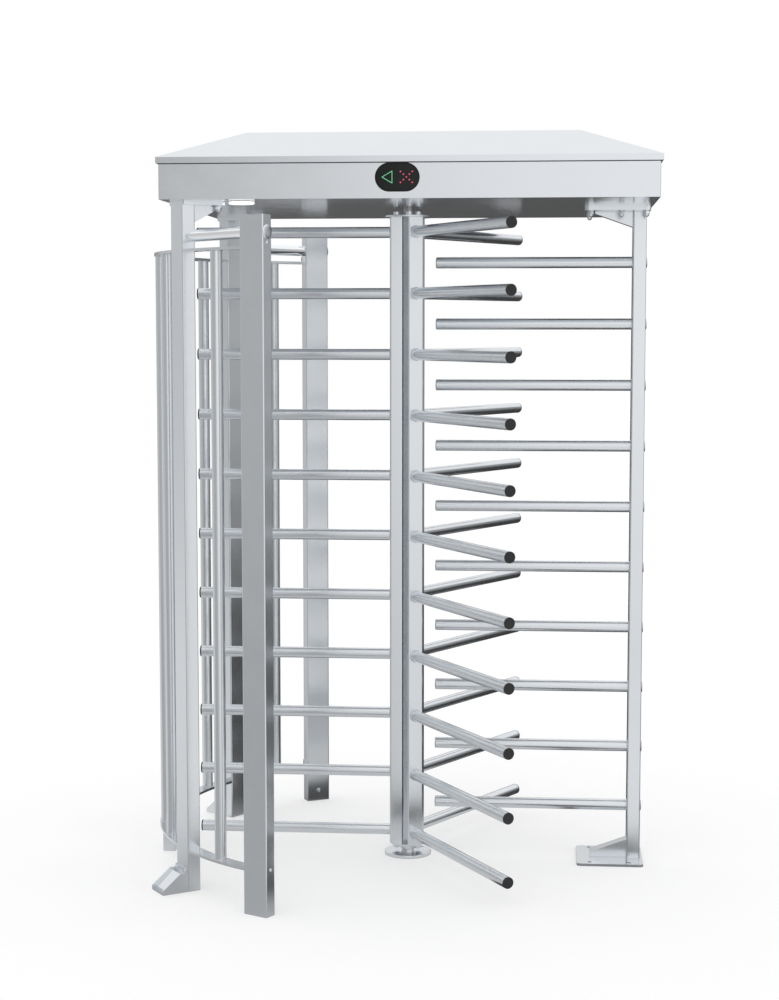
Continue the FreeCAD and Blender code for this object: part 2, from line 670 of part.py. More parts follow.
def build_fascia():
    outer = rounded(CAN_X0, CAN_X1, -CAN_Y, CAN_Y, CAN_Z, CAN_Z + CAN_H, 3)
    inner = box(CAN_X0 + SHEET, CAN_X1 - SHEET, -CAN_Y + SHEET, CAN_Y - SHEET, CAN_Z - 1, CAN_Z + CAN_H + 1)
    shell = outer.cut(inner)
    w = SHEET + RETURN_W
    for z0 in (CAN_Z, CAN_Z + CAN_H - SHEET):
        ring = box(CAN_X0 + 1, CAN_X1 - 1, -CAN_Y + 1, CAN_Y - 1, z0, z0 + SHEET)
        hole = box(CAN_X0 + w, CAN_X1 - w, -CAN_Y + w, CAN_Y - w, z0 - 1, z0 + SHEET + 1)
        shell = shell.fuse(ring.cut(hole))
    for y in (-CAN_Y, CAN_Y):
        shell = shell.cut(stadium(INDICATOR_W - 9, INDICATOR_H - 9, y - 5, y + 5, INDICATOR_X, INDICATOR_Z))
    for x, y in head_bolt_places():
        shell = shell.cut(rod(BRACKET_HOLE_R, CAN_Z - 1, CAN_Z + SHEET + 1, x, y))
    for x, y in lid_screw_places():
        shell = shell.cut(rod(M6_R + 0.3, CAN_Z + CAN_H - 3, CAN_Z + CAN_H + 1, x, y))
    save("canopy_fascia", shell.removeSplitter())


def build_indicators():
    for name, sign in (("front", -1), ("rear", 1)):
        face, wall, back = sign * (CAN_Y + 4), sign * CAN_Y, sign * (CAN_Y - 34)
        head = stadium(INDICATOR_W, INDICATOR_H, min(face, wall), max(face, wall), INDICATOR_X, INDICATOR_Z)
        front_edges = [e for e in head.Edges if abs(e.CenterOfMass.y - face) < 0.01]
        head = head.makeFillet(1.5, front_edges)
        body = stadium(INDICATOR_W - 10, INDICATOR_H - 10, min(wall, back), max(wall, back),
                       INDICATOR_X, INDICATOR_Z)
        save("indicator_" + name, head.fuse(body).removeSplitter())


def head_bolt_places():
    """Bolts of the canopy brackets: at the comb and at the two canopy posts of the cage."""
    places = [(x, y) for x in HEAD_BOLT_X for y in (-FOOT_HOLE_Y, FOOT_HOLE_Y)]
    for azimuth in (FRONT_AZ, 360 - FRONT_AZ):
        a = math.radians(azimuth)
        for side in (-CAGE_BOLT_SIDE, CAGE_BOLT_SIDE):
            places.append((CAGE_BOLT_R * math.cos(a) - side * math.sin(a),
                           CAGE_BOLT_R * math.sin(a) + side * math.cos(a)))
    return places


def build_underside():
    edge = SHEET + RETURN_W + 0.5
    y = CAN_Y - edge
    left = box(CAN_X0 + edge, SEAM_X - 0.75, -y, y, CAN_Z, CAN_Z + SHEET)
    right = box(SEAM_X + 0.75, CAN_X1 - edge, -y, y, CAN_Z, CAN_Z + SHEET)
    right = right.cut(rod(22.0, CAN_Z - 1, CAN_Z + SHEET + 1))
    for x, py in head_bolt_places():
        hole = rod(BRACKET_HOLE_R, CAN_Z - 1, CAN_Z + SHEET + 1, x, py)
        left, right = left.cut(hole), right.cut(hole)
    left = left.cut(rod(8.0, CAN_Z - 1, CAN_Z + SHEET + 1, LIGHT_X, LIGHT_Y))
    save("underside_panel_left", left)
    save("underside_panel_right", right)

    puck = rod(LIGHT_R, CAN_Z - LIGHT_DROP, CAN_Z, LIGHT_X, LIGHT_Y)
    low = [e for e in puck.Edges if e.CenterOfMass.z < CAN_Z - LIGHT_DROP + 0.1 and e.Length > 10]
    puck = puck.makeFillet(2.0, low).fuse(rod(7.9, CAN_Z - 1, CAN_Z + 14, LIGHT_X, LIGHT_Y))
    save("passage_light", puck.removeSplitter())


def rail(x0, x1, y0, y1):
    """Outer and inner solids of one square tube of the frame."""
    z0, z1, w = RAIL_Z, RAIL_Z + RAIL, RAIL_WALL
    if x1 - x0 > y1 - y0:
        return box(x0, x1, y0, y1, z0, z1), box(x0 - 1, x1 + 1, y0 + w, y1 - w, z0 + w, z1 - w)
    return box(x0, x1, y0, y1, z0, z1), box(x0 + w, x1 - w, y0 - 1, y1 + 1, z0 + w, z1 - w)


def build_frame():
    half = RAIL / 2
    inner_y = RAIL_Y - half
    rail_x1 = CAN_X1 - SHEET - 6
    rails = [rail(RAIL_X[0] - half, rail_x1, s * RAIL_Y - half, s * RAIL_Y + half) for s in (-1, 1)]
    rails += [rail(x - half, x + half, -inner_y, inner_y) for x in RAIL_X]
    tubes = [outer.cut(inner) for outer, inner in rails]
    pad = box(CAGE_PLATE_R0 - 20, RING_R + POST_D, -CAGE_PLATE_HALF, CAGE_PLATE_HALF, RAIL_Z, RAIL_Z + PAD_T)
    pads = [turned(pad, FRONT_AZ), turned(pad, 360 - FRONT_AZ)]
    pads.append(box(HEAD_X0, CAN_X1 - SHEET - 2, -FOOT_Y, FOOT_Y, RAIL_Z, RAIL_Z + PAD_T))
    supports = []
    for x0, x1, y in ((RAIL_X[0], RAIL_X[1], 120.0), (RAIL_X[2], RAIL_X[3], 60.0)):
        for middle in (-y, y):
            supports.append(box(x0, x1, middle - 15, middle + 15, RAIL_Z, RAIL_Z + SUPPORT_T))
    flats = fused(pads + supports)
    for outer, _ in rails:
        flats = flats.cut(outer)
    frame = fused(tubes + [flats])
    for x, y in head_bolt_places():
        frame = frame.cut(rod(BRACKET_HOLE_R, RAIL_Z - 1, RAIL_Z + RAIL + 4, x, y))
    for x in (-150.0, 150.0):
        for y in (-PLATE_BOLT_Y, PLATE_BOLT_Y):
            frame = frame.cut(rod(M6_R, PLATE_Z - 7, PLATE_Z + 1, x, y))
    save("canopy_frame", frame.removeSplitter())


def roof_block(inset, low, z_edge, z_top):
    """Upright lip under a truncated pyramid."""
    x0, x1 = CAN_X0 - LIP_OUT + inset, CAN_X1 + LIP_OUT - inset
    y1 = CAN_Y + LIP_OUT - inset
    rings = []
    for m, z in ((0, z_edge), (ROOF_INSET, z_top)):
        left, right, y = x0 + m, x1 - m, y1 - m
        rings.append([V(left, -y, z), V(right, -y, z), V(right, y, z), V(left, y, z)])
    outlines = list(rings)
    for k in range(4):
        outlines.append([rings[0][k - 1], rings[0][k], rings[1][k], rings[1][k - 1]])
    faces = [Part.Face(Part.makePolygon(points + [points[0]])) for points in outlines]
    pyramid = Part.Solid(Part.Shell(faces))
    return box(x0, x1, -y1, y1, low, z_edge).fuse(pyramid).removeSplitter()


def build_roof():
    low = CAN_Z + CAN_H
    edge = low + LIP_H
    outer = roof_block(0, low, edge, ROOF_Z)
    inner = roof_block(SHEET, low - 1, edge - 0.5, ROOF_Z - SHEET - 0.5)
    lid = outer.cut(inner)
    w = LIP_OUT + SHEET + RETURN_W
    x0, x1, y = CAN_X0 - LIP_OUT, CAN_X1 + LIP_OUT, CAN_Y + LIP_OUT
    ring = box(x0 + 1, x1 - 1, -y + 1, y - 1, low, low + SHEET)
    hole = box(x0 + w, x1 - w, -y + w, y - w, low - 1, low + SHEET + 1)
    lid = lid.fuse(ring.cut(hole))
    for x, y in lid_screw_places():
        lid = lid.cut(rod(M6_R, low - 1, low + SHEET + 1, x, y))
    save("roof_lid", lid.removeSplitter())


def hanging_bolt(x, y, z_seat, z_top):
    """Bolt pushed down through the canopy frame with a domed nut under the bracket."""
    corners = []
    for k in range(7):
        a = math.radians(60 * k)
        corners.append(V(x + 9.2 * math.cos(a), y + 9.2 * math.sin(a), z_seat - 11))
    nut = Part.Face(Part.makePolygon(corners)).extrude(UP * 9)
    dome = Part.makeSphere(7.9, V(x, y, z_seat - 12)).common(rod(9, z_seat - 21, z_seat - 9, x, y))
    washer = rod(10.5, z_seat - 2, z_seat, x, y)
    head = rod(8.0, z_top, z_top + 6.5, x, y)
    return fused([nut, dome, washer, rod(BRACKET_HOLE_R - 0.4, z_seat - 9, z_top + 1, x, y), head])


def build_bracket_bolts():
    seat = CAN_Z - HEAD_PLATE_T
    save("bracket_bolts", [hanging_bolt(x, y, seat, RAIL_Z + PAD_T) for x, y in head_bolt_places()])


# Comb

def wedge_outline(x_post, y, z_plate, way, length, height, tip):
    """Closed wire of a wedge: plate, blunt tip, slope and post."""
    return Part.makePolygon([V(x_post, y, z_plate), V(x_post - length, y, z_plate),
                             V(x_post - length, y, z_plate + way * tip), V(x_post, y, z_plate + way * height),
                             V(x_post, y, z_plate)])


def gusset(x_post, z_plate, up, height, tip, length=GUSSET_L, width=GUSSET_W):
    """Box wedge between a plate and a post face at x_post, hollow and open to the post."""
    way = 1 if up else -1
    wall = 4.0
    y = -width / 2
    outer = Part.Face(wedge_outline(x_post, y, z_plate, way, length, height, tip)).extrude(V(0, width, 0))
    lower = max(tip - wall - 1.0, 0.5)
    core = wedge_outline(x_post, y + wall, z_plate, way, length - 12, height - 2 * wall, lower)
    return outer.cut(Part.Face(core).extrude(V(0, width - 2 * wall, 0)))


def bar_end(x, z, outward):
    """Domed plug closing one end of a comb bar lying along X."""
    way = V(outward, 0, 0)
    head = Part.makeCylinder(TUBE_R, DOME, V(x, 0, z), way)
    tip = x + outward * DOME
    head = head.makeFillet(DOME - 0.6, [e for e in head.Edges if abs(e.CenterOfMass.x - tip) < 0.01])
    spigot = Part.makeCylinder(BORE_R - 0.05, 12.0, V(x + outward * 0.5, 0, z), -way)
    return head.fuse(spigot).removeSplitter()


def build_comb():
    z1 = CAN_Z - HEAD_PLATE_T
    post = rounded(COMB_X0, COMB_X1, -COMB_Y, COMB_Y, FOOT_T, z1, POST_CORNER)
    hollow = rounded(COMB_X0 + 3, COMB_X1 - 3, -COMB_Y + 3, COMB_Y - 3, FOOT_T - 1, z1 + 1, 1.5)
    post = post.cut(hollow)
    bars = []
    for k in range(COMB_BARS):
        z = COMB_Z0 + PITCH * k
        post = post.cut(rod_along(TUBE_R + 0.1, V(COMB_X0 - 5, 0, z), V(COMB_X1 + 5, 0, z)))
        start, end = COMB_TIP + DOME, COMB_X1 + COMB_TAIL - DOME
        bars.append(tube_between(V(start, 0, z), V(end, 0, z)))
        bars += [bar_end(start, z, -1), bar_end(end, z, 1)]
    save("comb_post", post)
    save("comb_bars", bars)

    foot = rounded(FOOT_X0, FOOT_X1, -FOOT_Y, FOOT_Y, 0, FOOT_T, 12)
    foot = foot.fuse(gusset(COMB_X0, FOOT_T, True, FOOT_GUSSET[1], FOOT_GUSSET[0]))
    for x in FOOT_HOLE_X:
        for y in (-FOOT_HOLE_Y, FOOT_HOLE_Y):
            foot = foot.cut(rod(ANCHOR_R, -1, FOOT_T + 1, x, y))
    save("comb_foot", foot.removeSplitter())

    head = rounded(HEAD_X0, HEAD_X1, -FOOT_Y, FOOT_Y, z1, CAN_Z, 12)
    head = head.fuse(gusset(COMB_X0, z1, False, HEAD_GUSSET[1], HEAD_GUSSET[0]))
    for x in HEAD_BOLT_X:
        for y in (-FOOT_HOLE_Y, FOOT_HOLE_Y):
            head = head.cut(rod(BRACKET_HOLE_R, z1 - 1, CAN_Z + 1, x, y))
    save("comb_top_bracket", head.removeSplitter())


# Guide cage

def rail_line():
    """Head rail's start in the canopy post, its end on the end post's near side, and the cap's seat."""
    a, b = math.radians(FRONT_AZ), math.radians(END_AZ)
    start = V((RING_R + POST_D / 2) * math.cos(a), (RING_R + POST_D / 2) * math.sin(a), HEAD_RAIL_Z)
    middle = V((END_R + POST_D / 2) * math.cos(b), (END_R + POST_D / 2) * math.sin(b), HEAD_RAIL_Z)
    normal = V(-math.sin(b), math.cos(b), 0)
    entry = middle.sub(normal * (POST_W / 2))
    way = entry.sub(start)
    way.normalize()
    return start, entry, way, normal, middle.add(normal * (POST_W / 2))


def end_post_zone(y0, y1):
    """Block round the end post at the head rail's height, from y0 to y1 across the post."""
    block = box(END_R - 60, END_R + POST_D + 60, y0, y1, HEAD_RAIL_Z - 40, HEAD_RAIL_Z + 40)
    return turned(block, END_AZ)


def post_outline(r_in, azimuth, reach=0.0):
    """Solid block that fills a post, used to trim what butts against it."""
    block = box(r_in - reach, r_in + POST_D + reach, -POST_W / 2, POST_W / 2, -10, 2100)
    return turned(block, azimuth)


def capped(post, r_in, z):
    """Close the top of a post with a welded plate."""
    lid = rounded(r_in, r_in + POST_D, -POST_W / 2, POST_W / 2, z - 3, z, POST_CORNER)
    return post.fuse(lid).removeSplitter()


def end_post():
    """Free-standing end post at azimuth 0."""
    post = capped(post_tube(END_R, POST_W, 0, END_TOP), END_R, END_TOP)
    return post.cut(rod_along(M6_R + 0.3, V(END_R - 5, 0, SOCKET_BOLT_Z), V(END_R + 10, 0, SOCKET_BOLT_Z)))


def dome_bolt(seat, way, length):
    """Button-head M6 bolt that seats at a point and runs along way."""
    head = Part.makeCylinder(M6_R * 1.75, 3.3, seat.sub(way * 3.3), way)
    outer = [e for e in head.Edges if e.CenterOfMass.sub(seat.sub(way * 3.3)).Length < 0.1]
    head = head.makeFillet(2.4, outer)
    return head.fuse(Part.makeCylinder(M6_R, length + 1, seat.sub(way * 1.0), way)).removeSplitter()


def build_cage_posts():
    start, entry, way, normal, seat = rail_line()
    post = end_post()
    for z in BAND_BOLT_Z.values():
        at = V(END_R + POST_D / 2, 0, z)
        post = post.cut(rod_along(M6_R + 0.3, at.add(V(0, POST_W, 0)), at.sub(V(0, POST_W, 0))))
    mouth = rod_along(TUBE_R + 0.1, start, entry.add(way * 20))
    mouth = mouth.common(end_post_zone(-POST_W / 2 - 1, -POST_W / 2 + POST_WALL + 0.01))
    post = turned(post, END_AZ).cut(mouth)
    post = post.cut(rod_along(CAP_STEM_R + 0.1, seat.sub(normal * 5), seat.add(normal * 1)))
    save("post_front_end", post)
    save("post_back_end", mirrored_y(post))

    tall = post_tube(RING_R, POST_W, 0, CAN_Z - HEAD_PLATE_T)
    for side in (-28.0, 28.0):
        tall = tall.cut(rod_along(M6_R, V(RING_R + 30, side, FOOT_BOLT_Z), V(RING_R + 45, side, FOOT_BOLT_Z)))
    save("post_front", turned(tall, FRONT_AZ))
    save("post_back", turned(tall, 360 - FRONT_AZ))

    side_top = BAND_HIGH + BAND_T
    side_post = capped(post_tube(RING_R, POST_W, 0, side_top), RING_R, side_top)
    hole = rod_along(M6_R + 0.3, V(RING_R - 5, 0, SOCKET_BOLT_Z), V(RING_R + 10, 0, SOCKET_BOLT_Z))
    save("post_side", turned(side_post.cut(hole), SIDE_AZ))


def build_sockets():
    """Floor sockets inside the posts that have no foot."""
    sockets = []
    for r_in, azimuth in ((END_R, END_AZ), (RING_R, SIDE_AZ), (END_R, 360 - END_AZ)):
        block = rounded(r_in + 3.5, r_in + 36.5, -36, 36, 0, 60, 1.5)
        block = block.cut(box(r_in + 8, r_in + 32, -31, 31, 6, 61))
        for side in (-18.0, 18.0):
            block = block.cut(rod(ANCHOR_R, -1, 7, r_in + 20, side))
        block = block.cut(rod_along(M6_R, V(r_in, 0, SOCKET_BOLT_Z), V(r_in + 12, 0, SOCKET_BOLT_Z)))
        sockets.append(turned(block, azimuth))
    save("floor_sockets", sockets)


def band_lug(node, azimuth, side):
    """Bolt lug that stands on a band's end against an end post."""
    y0, y1 = sorted((side * POST_W / 2, side * (POST_W / 2 + 8)))
    z0 = BAND_LOW if node == "guide_band_bottom" else BAND_HIGH
    lug = box(END_R + 4, RING_R + POST_D - 1, y0, y1, z0 + BAND_T, z0 + 26)
    hole = rod_along(M6_R, V(END_R + 20, y0 - 5, BAND_BOLT_Z[node]), V(END_R + 20, y1 + 5, BAND_BOLT_Z[node]))
    return turned(lug.cut(hole), azimuth)


def build_bands():
    """Flat rolled bands between the posts, top and bottom."""
    stops = (360 - END_AZ, 360 - FRONT_AZ, SIDE_AZ, FRONT_AZ, END_AZ)
    for node, z in (("guide_band_bottom", BAND_LOW), ("guide_band_top", BAND_HIGH)):
        ring = rod(RING_R + POST_D, z, z + BAND_T).cut(rod(RING_R, z - 1, z + BAND_T + 1))
        pieces = []
        for a0, a1 in zip(stops, stops[1:]):
            sector = Part.makeCylinder(900, BAND_T + 2, V(0, 0, z - 1), UP, a1 - a0)
            sector.rotate(V(0, 0, 0), UP, a0)
            piece = ring.common(sector)
            for az in (FRONT_AZ, SIDE_AZ, 360 - FRONT_AZ):
                piece = piece.cut(post_outline(RING_R, az, 2.0))
            for az in (END_AZ, 360 - END_AZ):
                piece = piece.cut(post_outline(END_R, az, 30.0))
            pieces.append(piece)
        pieces[0] = pieces[0].fuse(band_lug(node, 360 - END_AZ, 1)).removeSplitter()
        pieces[-1] = pieces[-1].fuse(band_lug(node, END_AZ, -1)).removeSplitter()
        save(node, pieces)


def build_guide_tubes():
    tubes = []
    r = RING_R + POST_D / 2
    for az in TUBE_AZ:
        for a in (az, 360 - az):
            x, y = r * math.cos(math.radians(a)), r * math.sin(math.radians(a))
            tubes.append(tube_between(V(x, y, BAND_LOW + BAND_T), V(x, y, BAND_HIGH)))
    save("guide_tubes", tubes)


def build_head_rails():
    start, entry, way, normal, seat = rail_line()
    tube = tube_between(start, entry.add(way * 20)).cut(post_outline(RING_R, FRONT_AZ))
    tube = tube.cut(end_post_zone(-POST_W / 2 + POST_WALL, POST_W / 2 + 80))
    top = seat.add(normal * HEAD_RAIL_CAP_T)
    cap = Part.makeCylinder(HEAD_RAIL_CAP_R, HEAD_RAIL_CAP_T, seat, normal)
    rim = [e for e in cap.Edges if e.CenterOfMass.sub(top).Length < 0.1]
    cap = cap.makeFillet(HEAD_RAIL_CAP_T - 0.6, rim)
    cap = cap.fuse(rod_along(CAP_STEM_R, seat.sub(normal * 10), seat.add(normal * 1))).removeSplitter()
    save("head_rails", [tube, cap, mirrored_y(tube), mirrored_y(cap)])


def build_feet():
    """Angled feet outside the two canopy posts of the cage."""
    r0 = RING_R + POST_D
    r1 = r0 + FOOT_REACH
    half = POST_W / 2
    base = box(r0, r1, -half, half, 0, 8)
    back = box(r0, r0 + 5, -half, half, 0, FOOT_RISE + 10)
    side = [(r0, 0, 0), (r1, 0, 0), (r1, 0, 14), (r0 + 24, 0, FOOT_RISE), (r0, 0, FOOT_RISE)]
    cheeks = []
    for y in (-half, half - FOOT_CHEEK):
        cheeks.append(prism([(x, y, z) for x, _, z in side], (0, 1, 0), FOOT_CHEEK))
    slope = [(r0 + 3, 0, FOOT_RISE - 5), (r0 + 20, 0, FOOT_RISE - 5), (r1 - 12, 0, 12), (r1 - 12, 0, 7),
             (r0 + 18, 0, FOOT_RISE - 9), (r0 + 3, 0, FOOT_RISE - 9)]
    cover = prism([(x, -half + 3, z) for x, _, z in slope], (0, 1, 0), 2 * half - 6)
    foot = fused([base, back, cover] + cheeks)
    for y in (-20.0, 20.0):
        foot = foot.cut(rod(ANCHOR_R, -1, 9, r0 + 38, y))
    for y in (-28.0, 28.0):
        foot = foot.cut(rod_along(M6_R + 0.3, V(r0 - 1, y, FOOT_BOLT_Z), V(r0 + 6, y, FOOT_BOLT_Z)))
    save("cage_feet", [turned(foot, FRONT_AZ), turned(foot, 360 - FRONT_AZ)])


def build_cage_brackets():
    """Plate and wedge that carry the canopy on the two canopy posts of the cage."""
    z1 = CAN_Z - HEAD_PLATE_T
    plate = rounded(CAGE_PLATE_R0, RING_R + POST_D, -CAGE_PLATE_HALF, CAGE_PLATE_HALF, z1, CAN_Z, 6)
    wedge = gusset(RING_R, z1, False, CAGE_GUSSET_H, 4.0, length=RING_R - CAGE_PLATE_R0 - 2)
    bracket = plate.fuse(wedge)
    for side in (-CAGE_BOLT_SIDE, CAGE_BOLT_SIDE):
        bracket = bracket.cut(rod(BRACKET_HOLE_R, z1 - 1, CAN_Z + 1, CAGE_BOLT_R, side))
    bracket = bracket.removeSplitter()
    save("cage_brackets", [turned(bracket, FRONT_AZ), turned(bracket, 360 - FRONT_AZ)])


def build_dome_bolts():
    bolts = []
    for azimuth, side in ((END_AZ, 1), (360 - END_AZ, -1)):
        for z in BAND_BOLT_Z.values():
            seat = V(END_R + POST_D / 2, side * POST_W / 2, z)
            bolts.append(turned(dome_bolt(seat, V(0, -side, 0), POST_W + 8.0), azimuth))
    for r_in, azimuth in ((END_R, END_AZ), (RING_R, SIDE_AZ), (END_R, 360 - END_AZ)):
        bolts.append(turned(dome_bolt(V(r_in, 0, SOCKET_BOLT_Z), V(1, 0, 0), 8.0), azimuth))
    outer = RING_R + POST_D + 5
    for azimuth in (FRONT_AZ, 360 - FRONT_AZ):
        for side in (-28.0, 28.0):
            bolts.append(turned(dome_bolt(V(outer, side, FOOT_BOLT_Z), V(-1, 0, 0), 9.0), azimuth))
    save("dome_bolts", bolts)


def main():
    os.makedirs("parts", exist_ok=True)
    build_rotor()
    build_floor_bearing()
    build_gears()
    build_locking_disc()
    pins = build_locks()
    build_mechanism_plate(pins)
    build_sensors()
    build_electrics()
    build_fascia()
    build_indicators()
    build_underside()
    build_frame()
    build_roof()
    build_bracket_bolts()
    build_comb()
    build_cage_posts()
    build_sockets()
    build_bands()
    build_guide_tubes()
    build_head_rails()
    build_feet()
    build_cage_brackets()
    build_dome_bolts()


main()
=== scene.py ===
"""Looks of a full height turnstile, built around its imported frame.

The frame gives every piece its place and size. This file gives each piece its finish, builds the
tubes, screws, weld beads, signal faces and lamp whose detail shows, and rounds the edges of the
plates. Lengths are in metres and angles in degrees, with the origin on the rotor axis at the floor.
"""

import json
import logging
import math
from dataclasses import dataclass
from enum import Enum
from typing import Iterable, Sequence

import bmesh
import bpy
from bmesh.types import BMesh
from bpy.types import Material, Mesh, Node, NodeSocket, Object
from mathutils import Matrix, Vector

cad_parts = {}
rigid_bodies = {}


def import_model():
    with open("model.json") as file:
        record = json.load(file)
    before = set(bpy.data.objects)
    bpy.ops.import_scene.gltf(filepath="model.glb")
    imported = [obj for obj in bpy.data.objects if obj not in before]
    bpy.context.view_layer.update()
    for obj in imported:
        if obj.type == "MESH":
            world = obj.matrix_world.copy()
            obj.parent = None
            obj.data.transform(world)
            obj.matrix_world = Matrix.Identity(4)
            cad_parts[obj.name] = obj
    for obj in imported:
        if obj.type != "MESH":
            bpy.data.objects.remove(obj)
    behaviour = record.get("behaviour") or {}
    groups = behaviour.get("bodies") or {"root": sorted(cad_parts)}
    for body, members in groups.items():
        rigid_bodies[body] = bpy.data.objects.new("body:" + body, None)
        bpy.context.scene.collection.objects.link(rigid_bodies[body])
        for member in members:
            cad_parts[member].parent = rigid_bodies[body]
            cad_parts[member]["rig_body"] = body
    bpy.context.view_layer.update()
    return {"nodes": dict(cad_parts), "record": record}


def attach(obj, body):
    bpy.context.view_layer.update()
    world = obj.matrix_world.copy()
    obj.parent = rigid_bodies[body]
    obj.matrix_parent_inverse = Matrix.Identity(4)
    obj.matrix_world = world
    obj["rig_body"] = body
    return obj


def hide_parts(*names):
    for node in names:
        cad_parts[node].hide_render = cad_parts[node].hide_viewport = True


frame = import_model()

LOG = logging.getLogger("turnstile")
Colour = tuple[float, float, float]
Loop = list[Vector]
Rim = tuple[float | bool, ...]
Places = Sequence[tuple[Vector, Vector]]

MM = 0.001
STEEL: Colour = (0.76, 0.79, 0.82)
LIE = "lie"
SHIFT = "shift"
WAY = "way"
SMOOTH_LIMIT = math.radians(32.0)
TUBE_SIDES, RING_SIDES, BEAD_SIDES = 48, 52, 6
RIPPLE = 0.22
HEX = True
UP, DOWN, RIGHT = Vector((0, 0, 1)), Vector((0, 0, -1)), Vector((1, 0, 0))


# Node trees

class Desk:
    """Lays out the nodes of one tree."""

    def __init__(self, tree: bpy.types.NodeTree) -> None:
        """Start on a shader or geometry tree."""
        self.tree = tree

    def add(self, kind: str, feeds: dict[str | int, object] | None = None,
            **settings: object) -> Node:
        """Add a node, set its properties and feed its inputs.

        Args:
            kind: Blender's name for the node type.
            feeds: Value, socket or node for each input, by name or number.
            **settings: Properties of the node, by name.

        Returns:
            The new node.
        """
        node = self.tree.nodes.new(kind)
        for key, value in settings.items():
            setattr(node, key, value)
        for key, value in (feeds or {}).items():
            self.feed(node.inputs[key], value)
        return node

    def feed(self, socket: NodeSocket, value: object) -> None:
        """Link a socket to an input, or set the input's value.

        Args:
            socket: Input to feed.
            value: Socket, node whose first output is meant, or plain value.
        """
        if isinstance(value, Node):
            value = value.outputs[0]
        if isinstance(value, NodeSocket):
            self.tree.links.new(value, socket)
        else:
            socket.default_value = value

    def sum(self, operation: str, first: object, second: object = 0.0) -> NodeSocket:
        """One math step, such as ADD, on two numbers or sockets."""
        return self.add("ShaderNodeMath", {0: first, 1: second}, operation=operation).outputs[0]


class Grain(Enum):
    """How the marks of a finish run: what they are laid on, and the stretch of each axis."""

    ALONG_X = ("place", (1.0, 30.0, 30.0))
    ALONG_Y = ("place", (30.0, 1.0, 30.0))
    ALONG_Z = ("place", (30.0, 30.0, 1.0))
    LEVEL = ("place", (1.0, 1.0, 30.0))
    EVEN = ("place", (12.0, 12.0, 12.0))
    TURNED = ("round", (40.0, 1.5, 1.5))
    TUBE = ("tube", (30.0, 30.0, 1.0))


